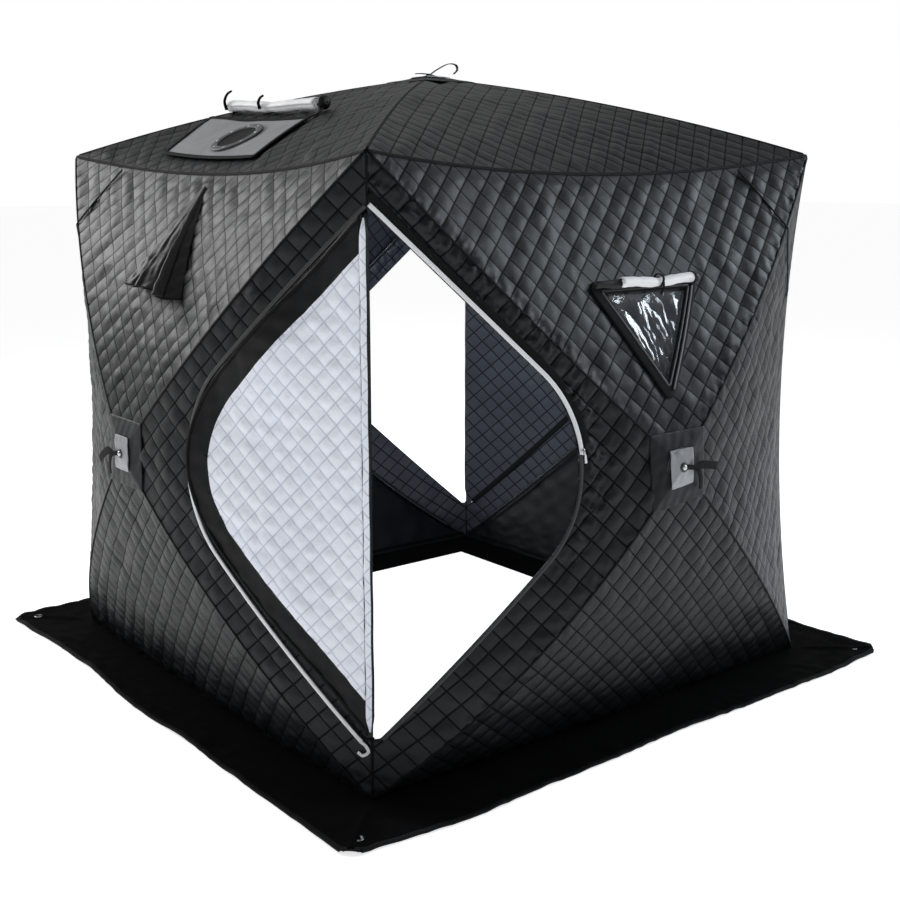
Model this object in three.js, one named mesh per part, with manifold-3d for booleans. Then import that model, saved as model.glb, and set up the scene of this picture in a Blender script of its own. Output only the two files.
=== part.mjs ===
// Pop-up hub ice fishing shelter, in millimetres. +Z is up, the origin is on the ice at the shelter's centre.
// The front wall faces -Y and the left wall faces -X. The door corner between them is called near, and the
// opposite corner, which has the same door, is called far.
// Every wall and the roof is one quilted sheet pushed outwards by a hub with four rods.
import * as THREE from 'three';
import Module from 'manifold-3d';

const wasm = await Module();
wasm.setup();
const { Manifold } = wasm;

// Driving dimensions
const TOP_HALF = 900;
const FOOT_HALF = 930;
const CORNER_HEIGHT = 1750;
const ROOF_HUB_HEIGHT = 2007;
const WALL_HUB_HEIGHT = 860;
const WALL_HUB_OUT = 1185;
const FABRIC = 8;
const GAP = 0.3;

// How far the sheet's free edges are pulled in between the corners
const TOP_EDGE_PULL = 60;
const SIDE_CORNER_PULL = 65;
const DOOR_CORNER_PULL = 30;
const FOOT_EDGE_PUSH = 20;

// How far each rod bends outwards, and how far the rod below the door sags
const ROOF_ROD_BEND = 30;
const UPPER_ROD_BEND = 40;
const LOWER_ROD_BEND = 50;
const DOOR_ROD_SAG = 55;

const HUB_HOLE = 94;
const HUB_PLATE_RADIUS = 58;
const HUB_BLOCK_RADIUS = 46;
const ROD_PIVOT_RADIUS = 34;
const ROD_PIVOT_DEPTH = 18;
const ROD_RADIUS = 5.5;
const ROD_UNDER_FABRIC = 24;
const ROD_END_GAP = 120;
const PIN_RADIUS = 4;

const SKIRT_THICK = 6;
const SKIRT_OUT = 235;
const SKIRT_IN = 170;

const DOOR_TOP = 1615;
const DOOR_BOTTOM = 175;
const DOOR_REACH = 570;
const DOOR_NOSE_RADIUS = 374;
const FOLD_AXIS = 930;
const LEAF_THICK = 10;
const LEAF_FOLD_GAP = 12;
const LEAF_SWING_DEG = 229;
const ZIP_GAP = 4;

const WINDOW_TOP = 1352;
const WINDOW_BOTTOM = 1085;
const WINDOW_HALF = 165;
const WINDOW_ROLL_RADIUS = 17;
const WINDOW_ROLL_HALF = 190;
const WINDOW_ROLL_HEIGHT = 1392;

const STOVE_CENTRE = new THREE.Vector2(-665, 153);
const STOVE_HOLE_RADIUS = 57;
const STOVE_RING_RADIUS = 90;

const VENT_TOP = 1655;
const VENT_MOUTH = 1365;
const VENT_HALF = 190;
const VENT_DEPTH = 85;

// Small helpers

function vec(x, y, z) {
  return new THREE.Vector3(x, y, z);
}

function lerp(a, b, t) {
  return a.clone().lerp(b, t);
}

function arch(t) {
  return 4 * t * (1 - t);
}

function manifoldOf(positions, triangles) {
  const mesh = new wasm.Mesh({
    numProp: 3,
    vertProperties: new Float32Array(positions),
    triVerts: new Uint32Array(triangles),
  });
  return new Manifold(mesh);
}

function biggest(solid) {
  const pieces = solid.decompose();
  pieces.sort((a, b) => b.volume() - a.volume());
  return pieces[0];
}

function geometryOf(solid) {
  const mesh = solid.getMesh();
  const geometry = new THREE.BufferGeometry();
  geometry.setAttribute('position', new THREE.BufferAttribute(new Float32Array(mesh.vertProperties), 3));
  geometry.setIndex(new THREE.BufferAttribute(new Uint32Array(mesh.triVerts), 1));
  geometry.computeVertexNormals();
  return geometry;
}

function matrixRows(matrix) {
  return matrix.elements.slice(0, 16);
}

function place(solid, matrix) {
  return solid.transform(matrixRows(matrix));
}

// A matrix whose columns are the three axes, with its origin at a point.
function frameMatrix(right, up, out, origin) {
  const matrix = new THREE.Matrix4().makeBasis(right, up, out);
  return matrix.setPosition(origin);
}

// A prism standing on a 2-D outline, from z = low to z = high of its own frame.
function prism(outline, low, high, matrix) {
  const section = new wasm.CrossSection([outline], 'Positive');
  const solid = section.extrude(high - low).translate([0, 0, low]);
  return matrix ? place(solid, matrix) : solid;
}

function circleOutline(radius, count, x = 0, y = 0) {
  const points = [];
  for (let i = 0; i < count; i += 1) {
    const angle = (2 * Math.PI * i) / count;
    points.push([x + radius * Math.cos(angle), y + radius * Math.sin(angle)]);
  }
  return points;
}

function disc(radius, low, high, count = 24) {
  return prism(circleOutline(radius, count), low, high);
}

// The faces: each has a hub point, four corners in turn round the hub, and its free edges between them

const corners = {
  near: { top: vec(-TOP_HALF, -TOP_HALF, CORNER_HEIGHT), foot: vec(-FOOT_HALF, -FOOT_HALF, SKIRT_THICK) },
  right: { top: vec(TOP_HALF, -TOP_HALF, CORNER_HEIGHT), foot: vec(FOOT_HALF, -FOOT_HALF, SKIRT_THICK) },
  far: { top: vec(TOP_HALF, TOP_HALF, CORNER_HEIGHT), foot: vec(FOOT_HALF, FOOT_HALF, SKIRT_THICK) },
  left: { top: vec(-TOP_HALF, TOP_HALF, CORNER_HEIGHT), foot: vec(-FOOT_HALF, FOOT_HALF, SKIRT_THICK) },
};

function diagonalPull(corner, amount) {
  const inwards = vec(-Math.sign(corner.x), -Math.sign(corner.y), 0);
  return inwards.multiplyScalar(amount / Math.SQRT2);
}

const X = vec(1, 0, 0);
const Y = vec(0, 1, 0);
const Z = vec(0, 0, 1);

const frontFace = {
  hub: vec(0, -WALL_HUB_OUT, WALL_HUB_HEIGHT),
  right: X.clone(),
  up: Z.clone(),
  out: Y.clone().negate(),
  corners: [corners.near.top, corners.right.top, corners.right.foot, corners.near.foot],
  bends: [0, UPPER_ROD_BEND, LOWER_ROD_BEND, LOWER_ROD_BEND],
  sags: [15, 0, 0, DOOR_ROD_SAG],
  pulls: [
    vec(0, TOP_EDGE_PULL, -TOP_EDGE_PULL),
    diagonalPull(corners.right.top, SIDE_CORNER_PULL),
    vec(0, -FOOT_EDGE_PUSH, 0),
    diagonalPull(corners.near.top, DOOR_CORNER_PULL),
  ],
};

const leftFace = {
  hub: vec(-WALL_HUB_OUT, 0, WALL_HUB_HEIGHT),
  right: Y.clone().negate(),
  up: Z.clone(),
  out: X.clone().negate(),
  corners: [corners.left.top, corners.near.top, corners.near.foot, corners.left.foot],
  bends: [UPPER_ROD_BEND, UPPER_ROD_BEND, LOWER_ROD_BEND, LOWER_ROD_BEND],
  sags: [0, 0, 0, 0],
  pulls: [
    vec(TOP_EDGE_PULL, 0, -TOP_EDGE_PULL),
    diagonalPull(corners.near.top, DOOR_CORNER_PULL),
    vec(-FOOT_EDGE_PUSH, 0, 0),
    diagonalPull(corners.left.top, SIDE_CORNER_PULL),
  ],
};

const roofFace = {
  hub: vec(0, 0, ROOF_HUB_HEIGHT),
  right: X.clone(),
  up: Y.clone(),
  out: Z.clone(),
  corners: [corners.near.top, corners.right.top, corners.far.top, corners.left.top],
  bends: [ROOF_ROD_BEND, ROOF_ROD_BEND, ROOF_ROD_BEND, ROOF_ROD_BEND],
  sags: [0, 0, 0, 0],
  pulls: [
    vec(0, TOP_EDGE_PULL, -TOP_EDGE_PULL),
    vec(-TOP_EDGE_PULL, 0, -TOP_EDGE_PULL),
    vec(0, -TOP_EDGE_PULL, -TOP_EDGE_PULL),
    vec(TOP_EDGE_PULL, 0, -TOP_EDGE_PULL),
  ],
};

// The ridge that a rod makes in the sheet: 0 at the hub, 1 at the corner.
function ridgePoint(face, index, s) {
  const point = lerp(face.hub, face.corners[index], s);
  point.addScaledVector(face.out, face.bends[index] * arch(s));
  point.z -= face.sags[index] * arch(s);
  return point;
}

// A point of the sheet: s runs from the hub to the free edge, q runs round the hub, one unit a sector.
function sheetPoint(face, s, q) {
  const turn = ((q % 4) + 4) % 4;
  const index = Math.min(Math.floor(turn), 3);
  const t = turn - index;
  const point = lerp(ridgePoint(face, index, s), ridgePoint(face, (index + 1) % 4, s), t);
  return point.addScaledVector(face.pulls[index], arch(t) * s * s);
}

function sheetNormal(face, s, q) {
  const step = 0.004;
  const along = sheetPoint(face, s + step, q).sub(sheetPoint(face, s - step, q));
  const round = sheetPoint(face, s, q + step).sub(sheetPoint(face, s, q - step));
  const normal = along.cross(round).normalize();
  return normal.dot(face.out) < 0 ? normal.negate() : normal;
}

// A closed solid between two copies of a grid of points.
function solidBetween(outer, inner, rows, columns, closed) {
  const positions = [...outer, ...inner].flatMap((p) => [p.x, p.y, p.z]);
  const shift = rows * columns;
  const triangles = [];
  const quad = (a, b, c, d) => triangles.push(a, b, c, a, c, d);
  const lastColumn = closed ? columns : columns - 1;
  for (let i = 0; i < rows - 1; i += 1) {
    for (let j = 0; j < lastColumn; j += 1) {
      const k = (j + 1) % columns;
      quad(i * columns + j, (i + 1) * columns + j, (i + 1) * columns + k, i * columns + k);
      quad(
        shift + i * columns + k,
        shift + (i + 1) * columns + k,
        shift + (i + 1) * columns + j,
        shift + i * columns + j,
      );
    }
  }
  for (let j = 0; j < lastColumn; j += 1) {
    const k = (j + 1) % columns;
    const last = (rows - 1) * columns;
    quad(j, k, shift + k, shift + j);
    quad(last + k, last + j, shift + last + j, shift + last + k);
  }
  if (!closed) {
    const end = columns - 1;
    for (let i = 0; i < rows - 1; i += 1) {
      const a = i * columns;
      const b = (i + 1) * columns;
      quad(b, a, shift + a, shift + b);
      quad(a + end, b + end, shift + b + end, shift + a + end);
    }
  }
  for (let i = 0; i < triangles.length; i += 3) {
    const swap = triangles[i];
    triangles[i] = triangles[i + 1];
    triangles[i + 1] = swap;
  }
  const solid = manifoldOf(positions, triangles);
  if (solid.volume() > 0) {
    return solid;
  }
  for (let i = 0; i < triangles.length; i += 3) {
    const swap = triangles[i];
    triangles[i] = triangles[i + 1];
    triangles[i + 1] = swap;
  }
  return manifoldOf(positions, triangles);
}

// The whole sheet of a face, of a thickness, lifted off its own middle by lift, as a ring round the hub hole.
function sheetSolid(face, thickness, lift = 0, perSector = 5, rings = 5) {
  const outer = [];
  const inner = [];
  const reach = face.hub.distanceTo(face.corners[0]);
  const start = HUB_HOLE / reach;
  const columns = 4 * perSector;
  for (let i = 0; i <= rings; i += 1) {
    for (let j = 0; j < columns; j += 1) {
      const q = j / perSector;
      const s = start + (1.014 - start) * (i / rings);
      const point = sheetPoint(face, s, q);
      const normal = sheetNormal(face, s, q);
      outer.push(point.clone().addScaledVector(normal, lift + thickness / 2));
      inner.push(point.clone().addScaledVector(normal, lift - thickness / 2));
    }
  }
  return solidBetween(outer, inner, rings + 1, columns, true);
}

// Trims at the seams: every sheet ends half a gap short of the plane its seams lie in.
const HALF = Math.SQRT1_2;
const EAVE = (CORNER_HEIGHT - TOP_HALF) * HALF;

function trimWall(solid, face, gap = GAP / 2) {
  const o = face.out;
  const r = face.right;
  return solid
    .trimByPlane([(o.x + r.x) * HALF, (o.y + r.y) * HALF, 0], gap)
    .trimByPlane([(o.x - r.x) * HALF, (o.y - r.y) * HALF, 0], gap)
    .trimByPlane([o.x * HALF, o.y * HALF, -HALF], gap - EAVE)
    .trimByPlane([0, 0, 1], SKIRT_THICK + GAP);
}

function trimRoof(solid, gap = GAP / 2) {
  return solid
    .trimByPlane([-HALF, 0, HALF], gap + EAVE)
    .trimByPlane([HALF, 0, HALF], gap + EAVE)
    .trimByPlane([0, -HALF, HALF], gap + EAVE)
    .trimByPlane([0, HALF, HALF], gap + EAVE);
}

// The sheet point of one sector that has a given place across and up its face.
function pointOnFace(face, sector, across, height) {
  let s = 0.7;
  let t = 0.5;
  const miss = (a, b) => {
    const p = sheetPoint(face, a, sector + b);
    return [p.dot(face.right) - across, p.dot(face.up) - height];
  };
  for (let i = 0; i < 30; i += 1) {
    const m = miss(s, t);
    const ds = miss(s + 1e-4, t);
    const dt = miss(s, t + 1e-4);
    const a = (ds[0] - m[0]) / 1e-4;
    const b = (dt[0] - m[0]) / 1e-4;
    const c = (ds[1] - m[1]) / 1e-4;
    const d = (dt[1] - m[1]) / 1e-4;
    const det = a * d - b * c;
    s = Math.min(Math.max(s - (d * m[0] - b * m[1]) / det, 0.05), 1.05);
    t = Math.min(Math.max(t - (a * m[1] - c * m[0]) / det, 0.0005), 0.9995);
  }
  return { point: sheetPoint(face, s, sector + t), normal: sheetNormal(face, s, sector + t) };
}

// Door outline: two straight zips at 45 degrees from the tips and a round nose, x away from the fold line

function doorOutline(inset, behind) {
  const middle = (DOOR_TOP + DOOR_BOTTOM) / 2;
  const centre = DOOR_REACH - DOOR_NOSE_RADIUS;
  const radius = DOOR_NOSE_RADIUS - inset;
  const points = [];
  const steps = 8;
  for (let i = 0; i <= steps; i += 1) {
    const angle = -Math.PI / 4 + (i * Math.PI) / (2 * steps);
    points.push([centre + radius * Math.cos(angle), middle + radius * Math.sin(angle)]);
  }
  const tip = (DOOR_TOP - DOOR_BOTTOM) / 2 - inset * Math.SQRT2;
  points.push([0, middle + tip]);
  if (behind > 0) {
    points.push([-behind, middle + tip]);
    points.push([-behind, middle - tip]);
  }
  points.push([0, middle - tip]);
  return points;
}

// The door prism in the plane of a wall, measured from the near corner towards the wall's hub.
function doorPrism(face, inset) {
  const sign = face === frontFace ? 1 : -1;
  const outline = doorOutline(inset, 90).map(([x, z]) => [sign * (x - TOP_HALF), z]);
  const ordered = sign > 0 ? outline : outline.reverse();
  const upright = frameMatrix(face.right, face.up, face.out, vec(0, 0, 0));
  return prism(ordered, TOP_HALF - 160, WALL_HUB_OUT + 160, upright);
}

// The leaf is drawn shut in the front wall's side plane, then turned open round the fold line.
function doorLeaf() {
  const slope = Math.atan2(WALL_HUB_OUT - FOLD_AXIS + 20, FOLD_AXIS);
  const along = vec(Math.cos(slope), -Math.sin(slope), 0);
  const out = vec(-Math.sin(slope), -Math.cos(slope), 0);
  const middle = (DOOR_TOP + DOOR_BOTTOM) / 2;
  const tip = (DOOR_TOP - DOOR_BOTTOM) / 2 - ZIP_GAP * Math.SQRT2 - LEAF_FOLD_GAP;
  const nose = doorOutline(ZIP_GAP, 0).filter(([x]) => x > LEAF_FOLD_GAP);
  const outline = nose.map(([x, z]) => [x / Math.cos(slope), z]);
  outline.push([LEAF_FOLD_GAP, middle + tip]);
  outline.push([LEAF_FOLD_GAP, middle - tip]);
  const shut = prism(outline, -LEAF_THICK / 2, LEAF_THICK / 2, frameMatrix(along, Z, out, vec(0, 0, 0)));
  return shut.rotate([0, 0, -LEAF_SWING_DEG]).translate([-FOLD_AXIS, -FOLD_AXIS, 0]);
}

// Window

function windowPrism(inset) {
  const slope = inset * 1.9;
  const outline = [
    [-WINDOW_HALF + slope, WINDOW_TOP - inset],
    [0, WINDOW_BOTTOM + slope],
    [WINDOW_HALF - slope, WINDOW_TOP - inset],
  ];
  return prism(outline, TOP_HALF - 160, WALL_HUB_OUT + 160, frameMatrix(X, Z, frontFace.out, vec(0, 0, 0)));
}

function windowPane() {
  return biggest(sheetSolid(frontFace, 3).intersect(windowPrism(GAP)));
}

function rollBetween(a, b, radius, count = 10) {
  const axis = b.clone().sub(a);
  const turn = new THREE.Quaternion().setFromUnitVectors(Z, axis.clone().normalize());
  const matrix = new THREE.Matrix4().compose(a, turn, vec(1, 1, 1));
  return place(disc(radius, 0, axis.length(), count), matrix);
}

function windowRoll() {
  const places = [-WINDOW_ROLL_HALF, 0, WINDOW_ROLL_HALF];
  const spots = places.map((x) => pointOnFace(frontFace, 0, x, WINDOW_ROLL_HEIGHT));
  const y = Math.min(...spots.map((spot) => spot.point.y)) - FABRIC / 2 - WINDOW_ROLL_RADIUS - 3;
  const a = vec(-WINDOW_ROLL_HALF, y, WINDOW_ROLL_HEIGHT);
  const b = vec(WINDOW_ROLL_HALF, y, WINDOW_ROLL_HEIGHT);
  return rollBetween(a, b, WINDOW_ROLL_RADIUS);
}

// Walls

function frontWall() {
  const sheet = sheetSolid(frontFace, FABRIC);
  return biggest(trimWall(sheet, frontFace).subtract(doorPrism(frontFace, 0)).subtract(windowPrism(0)));
}

function leftWall() {
  return biggest(trimWall(sheetSolid(leftFace, FABRIC), leftFace).subtract(doorPrism(leftFace, 0)));
}

function doorFixedHalf() {
  return biggest(trimWall(sheetSolid(leftFace, FABRIC), leftFace).intersect(doorPrism(leftFace, 1.5)));
}

// Roof with its stove jack

function stoveFrame() {
  const spot = pointOnFace(roofFace, 3, STOVE_CENTRE.x, STOVE_CENTRE.y);
  const along = Y.clone().addScaledVector(spot.normal, -Y.dot(spot.normal)).normalize();
  const across = along.clone().cross(spot.normal);
  return frameMatrix(across, along, spot.normal, spot.point);
}

function roofSheet() {
  const hole = place(disc(STOVE_HOLE_RADIUS + 3, -60, 60, 20), stoveFrame());
  return biggest(trimRoof(sheetSolid(roofFace, FABRIC)).subtract(hole));
}

function stovePanel() {
  const outline = [[-556, 523], [-778, 442], [-771, -134], [-528, -66]];
  const sheet = sheetSolid(roofFace, 3, FABRIC / 2 + GAP + 3);
  const hole = place(disc(STOVE_HOLE_RADIUS + 3, -60, 60, 20), stoveFrame());
  return biggest(sheet.intersect(prism(outline, CORNER_HEIGHT - 200, ROOF_HUB_HEIGHT + 50)).subtract(hole));
}

function stoveRing() {
  const lift = FABRIC / 2 + 3 + 7;
  const opening = disc(STOVE_HOLE_RADIUS, lift - 1, lift + 7, 20);
  const ring = disc(STOVE_RING_RADIUS, lift, lift + 6, 24).subtract(opening);
  return place(ring, stoveFrame());
}

function stoveRoll() {
  const a = vec(-500, 500, 0);
  const b = vec(-470, -40, 0);
  a.z = pointOnFace(roofFace, 3, a.x, 470).point.z + 34;
  b.z = pointOnFace(roofFace, 3, b.x, b.y).point.z + 34;
  return rollBetween(a, b, 22);
}

// Vent hood: a pocket of the same fabric standing off the wall, open downwards

function ventHood() {
  const outer = [];
  const inner = [];
  const rows = 6;
  const columns = 9;
  for (let i = 0; i < rows; i += 1) {
    const u = i / (rows - 1);
    const height = VENT_TOP + (VENT_MOUTH - VENT_TOP) * u;
    for (let j = 0; j < columns; j += 1) {
      const v = (2 * j) / (columns - 1) - 1;
      const across = v * (14 + (VENT_HALF - 14) * u);
      const spot = pointOnFace(leftFace, 0, across, height);
      const off = FABRIC / 2 + 3 + VENT_DEPTH * u * (1 - v * v) ** 0.75;
      outer.push(spot.point.clone().addScaledVector(leftFace.out, off + 5));
      inner.push(spot.point.clone().addScaledVector(leftFace.out, off));
    }
  }
  return solidBetween(outer, inner, rows, columns, false);
}

// Hub and rods, in the face's own frame: x right, y up, z out

function faceMatrix(face) {
  return frameMatrix(face.right, face.up, face.out, face.hub);
}

function localPoint(face, point) {
  const p = point.clone().sub(face.hub);
  return vec(p.dot(face.right), p.dot(face.up), p.dot(face.out));
}

function rodHeading(face, index) {
  const tip = localPoint(face, face.corners[index]);
  return Math.atan2(tip.y, tip.x);
}

function hubSolid(face) {
  let hub = disc(HUB_BLOCK_RADIUS, -34, -4, 16);
  for (let i = 0; i < 4; i += 1) {
    const slot = [[20, -6.5], [80, -6.5], [80, 6.5], [20, 6.5]];
    const pin = rollBetween(vec(0, -9, 0), vec(0, 9, 0), PIN_RADIUS, 8);
    const pinPlaced = pin.translate([ROD_PIVOT_RADIUS, 0, -ROD_PIVOT_DEPTH]);
    const turn = (rodHeading(face, i) * 180) / Math.PI;
    hub = hub.subtract(prism(slot, -40, -4).rotate([0, 0, turn]));
    hub = hub.add(pinPlaced.rotate([0, 0, turn]));
  }
  const plate = disc(HUB_PLATE_RADIUS, -4, 1, 20).add(disc(HUB_PLATE_RADIUS - 6, 0, 3, 20));
  const bolt = disc(12, 0, 10, 6);
  return place(biggest(hub.add(plate).add(bolt)), faceMatrix(face));
}

function rodEnds(face, index) {
  const heading = rodHeading(face, index);
  const pivot = vec(
    ROD_PIVOT_RADIUS * Math.cos(heading),
    ROD_PIVOT_RADIUS * Math.sin(heading),
    -ROD_PIVOT_DEPTH,
  );
  const reach = face.hub.distanceTo(face.corners[index]);
  const end = 1 - ROD_END_GAP / reach;
  const tip = localPoint(face, ridgePoint(face, index, end));
  tip.z -= ROD_UNDER_FABRIC;
  const share = (end - ROD_PIVOT_RADIUS / reach) ** 2;
  return { pivot, tip, heading, share };
}

function rodSolid(face, index) {
  const { pivot, tip, heading, share } = rodEnds(face, index);
  const points = [];
  const steps = 5;
  const direction = tip.clone().sub(pivot).normalize();
  const start = pivot.clone().addScaledVector(direction, 6);
  const sag = vec(0, 0, 0);
  if (face !== roofFace) {
    sag.y = -share * face.sags[index];
  }
  for (let i = 0; i <= steps; i += 1) {
    const u = i / steps;
    const point = lerp(start, tip, u);
    point.z += share * face.bends[index] * arch(u);
    point.addScaledVector(sag, arch(u));
    points.push(point);
  }
  const circle = new THREE.Shape(circleOutline(ROD_RADIUS, 7).map(([x, y]) => new THREE.Vector2(x, y)));
  const path = new THREE.CatmullRomCurve3(points);
  const tube = new THREE.ExtrudeGeometry(circle, { steps: 5, extrudePath: path, bevelEnabled: false });
  const rod = solidFromGeometry(tube);
  const turn = (heading * 180) / Math.PI;
  const eye = rollBetween(vec(0, -5, 0), vec(0, 5, 0), 9, 10);
  const hole = rollBetween(vec(0, -8, 0), vec(0, 8, 0), PIN_RADIUS + 0.7, 8);
  const atPivot = (solid) => solid.rotate([0, 0, turn]).translate([pivot.x, pivot.y, pivot.z]);
  return place(biggest(rod.add(atPivot(eye)).subtract(atPivot(hole))), faceMatrix(face));
}

function solidFromGeometry(geometry) {
  const merged = new Map();
  const positions = [];
  const triangles = [];
  const source = geometry.getAttribute('position');
  const index = geometry.getIndex();
  const count = index ? index.count : source.count;
  for (let i = 0; i < count; i += 1) {
    const k = index ? index.getX(i) : i;
    const key = [source.getX(k), source.getY(k), source.getZ(k)].map((c) => c.toFixed(4)).join(',');
    if (!merged.has(key)) {
      merged.set(key, positions.length / 3);
      positions.push(source.getX(k), source.getY(k), source.getZ(k));
    }
    triangles.push(merged.get(key));
  }
  const solid = manifoldOf(positions, triangles);
  if (solid.volume() > 0) {
    return solid;
  }
  for (let i = 0; i < triangles.length; i += 3) {
    const swap = triangles[i];
    triangles[i] = triangles[i + 1];
    triangles[i + 1] = swap;
  }
  return manifoldOf(positions, triangles);
}

// A short webbing loop on the hub's bolt, hanging down.
function pullStrap(face) {
  const path = new THREE.CatmullRomCurve3([
    vec(0, 0, 13.5),
    vec(0, -16, 17),
    vec(0, -36, 22),
    vec(0, -50, 19),
    vec(0, -57, 8),
  ]);
  const section = new THREE.Shape([
    new THREE.Vector2(-11, -1.2),
    new THREE.Vector2(11, -1.2),
    new THREE.Vector2(11, 1.2),
    new THREE.Vector2(-11, 1.2),
  ]);
  const alongPath = { steps: 7, extrudePath: path, bevelEnabled: false };
  let ribbon = solidFromGeometry(new THREE.ExtrudeGeometry(section, alongPath));
  const box = ribbon.boundingBox();
  if (box.max[0] - box.min[0] < 15) {
    const turned = section.getPoints().map((p) => new THREE.Vector2(p.y, p.x));
    ribbon = solidFromGeometry(new THREE.ExtrudeGeometry(new THREE.Shape(turned), alongPath));
  }
  return place(ribbon, faceMatrix(face));
}

// Corner boots: the reinforced pockets inside the four top corners that the rod ends push into

function cornerBoot() {
  const c = corners.near.top;
  const ball = Manifold.sphere(30, 12).translate([c.x + 16, c.y + 16, c.z - 16]);
  const thick = FABRIC + 8 * GAP;
  const free = ball
    .subtract(sheetSolid(frontFace, thick))
    .subtract(sheetSolid(leftFace, thick))
    .subtract(sheetSolid(roofFace, thick));
  const inside = free
    .trimByPlane([1, 0, 0], c.x + 9)
    .trimByPlane([0, 1, 0], c.y + 9)
    .trimByPlane([0, 0, -1], -c.z + 5);
  return biggest(inside);
}

// Snow skirt flat on the ice, with an eyelet for an ice anchor at each corner

const EYELET_HALF = 1090;

function snowSkirt() {
  const outer = FOOT_HALF + SKIRT_OUT;
  const inner = FOOT_HALF - SKIRT_IN;
  const cut = 45;
  const outline = [
    [-outer + cut, -outer], [outer - cut, -outer], [outer, -outer + cut], [outer, outer - cut],
    [outer - cut, outer], [-outer + cut, outer], [-outer, outer - cut], [-outer, -outer + cut],
  ];
  const hole = [[-inner, -inner], [inner, -inner], [inner, inner], [-inner, inner]];
  let skirt = prism(outline, 0, SKIRT_THICK).subtract(prism(hole, -1, SKIRT_THICK + 1));
  for (const [sx, sy] of [[-1, -1], [1, -1], [1, 1], [-1, 1]]) {
    const eye = disc(9, -1, SKIRT_THICK + 1, 12).translate([sx * EYELET_HALF, sy * EYELET_HALF, 0]);
    skirt = skirt.subtract(eye);
  }
  return skirt;
}

function eyelet() {
  const low = SKIRT_THICK + GAP;
  const ring = disc(16, low, low + 2, 16).subtract(disc(9, low - 1, low + 3, 12));
  return ring.translate([-EYELET_HALF, -EYELET_HALF, 0]);
}

// Zip slider on the rim of the open front half, with its pull

function sliderSpot(degrees) {
  const angle = (degrees * Math.PI) / 180;
  const centre = DOOR_REACH - DOOR_NOSE_RADIUS;
  const radius = DOOR_NOSE_RADIUS + 9;
  const x = -TOP_HALF + centre + radius * Math.cos(angle);
  const z = (DOOR_TOP + DOOR_BOTTOM) / 2 + radius * Math.sin(angle);
  const spot = pointOnFace(frontFace, 3, x, z);
  return spot.point.addScaledVector(spot.normal, FABRIC / 2 + 5);
}

function zipSlider() {
  const at = sliderSpot(6);
  const next = sliderSpot(12);
  const spot = pointOnFace(frontFace, 3, at.x, at.z);
  const along = next.clone().sub(at).normalize();
  const out = spot.normal.clone();
  const across = along.clone().cross(out).normalize();
  const body = prism([[-6, -9], [6, -9], [5, 9], [-5, 9]], -3, 3);
  const tab = prism([[-4, -34], [4, -34], [3, -4], [-3, -4]], 2.5, 5);
  return place(body.add(tab), frameMatrix(across, along, across.clone().cross(along), at));
}

// Assembly

const palette = {
  quilt: { color: 0x1d1f23, roughness: 0.75, metalness: 0 },
  skirt: { color: 0x0e0e10, roughness: 0.9, metalness: 0 },
  lining: { color: 0xdfe5ea, roughness: 0.6, metalness: 0 },
  clear: { color: 0xcfdde2, roughness: 0.15, metalness: 0 },
  silver: { color: 0xb4b7ba, roughness: 0.55, metalness: 0 },
  rod: { color: 0x15161a, roughness: 0.35, metalness: 0 },
  plastic: { color: 0x18191b, roughness: 0.5, metalness: 0 },
  webbing: { color: 0x141416, roughness: 0.85, metalness: 0 },
  steel: { color: 0xa9adb0, roughness: 0.35, metalness: 1 },
};

const group = new THREE.Group();
group.name = 'ice_fishing_shelter';

function add(name, solid, slot) {
  const mesh = new THREE.Mesh(geometryOf(solid), new THREE.MeshStandardMaterial(palette[slot]));
  mesh.name = name;
  group.add(mesh);
}

function addBoth(nearName, farName, solid, slot) {
  add(nearName, solid, slot);
  add(farName, solid.rotate([0, 0, 180]), slot);
}

add('roof_panel', roofSheet(), 'quilt');
addBoth('wall_front', 'wall_back', frontWall(), 'quilt');
addBoth('wall_left', 'wall_right', leftWall(), 'quilt');
add('snow_skirt', snowSkirt(), 'skirt');
addBoth('door_near_fixed_half', 'door_far_fixed_half', doorFixedHalf(), 'quilt');
addBoth('door_near_leaf', 'door_far_leaf', doorLeaf(), 'lining');
addBoth('zip_slider_near', 'zip_slider_far', zipSlider(), 'steel');
addBoth('window_front_pane', 'window_back_pane', windowPane(), 'clear');
addBoth('window_front_cover_roll', 'window_back_cover_roll', windowRoll(), 'lining');
addBoth('vent_hood_left', 'vent_hood_right', ventHood(), 'quilt');
add('stove_jack_panel', stovePanel(), 'silver');
add('stove_pipe_ring', stoveRing(), 'plastic');
add('stove_jack_cover_roll', stoveRoll(), 'lining');

add('hub_roof', hubSolid(roofFace), 'plastic');
addBoth('hub_front', 'hub_back', hubSolid(frontFace), 'plastic');
addBoth('hub_left', 'hub_right', hubSolid(leftFace), 'plastic');
add('pull_strap_roof', pullStrap(roofFace), 'webbing');
addBoth('pull_strap_front', 'pull_strap_back', pullStrap(frontFace), 'webbing');
addBoth('pull_strap_left', 'pull_strap_right', pullStrap(leftFace), 'webbing');

for (let i = 0; i < 4; i += 1) {
  add(`rod_roof_${i + 1}`, rodSolid(roofFace, i), 'rod');
  addBoth(`rod_front_${i + 1}`, `rod_back_${i + 1}`, rodSolid(frontFace, i), 'rod');
  addBoth(`rod_left_${i + 1}`, `rod_right_${i + 1}`, rodSolid(leftFace, i), 'rod');
}

const boot = cornerBoot();
const pin = eyelet();
['near', 'right', 'far', 'left'].forEach((name, i) => {
  add(`corner_boot_${name}`, boot.rotate([0, 0, 90 * i]), 'plastic');
  add(`anchor_eyelet_${name}`, pin.rotate([0, 0, 90 * i]), 'steel');
});

export default group;
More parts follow.
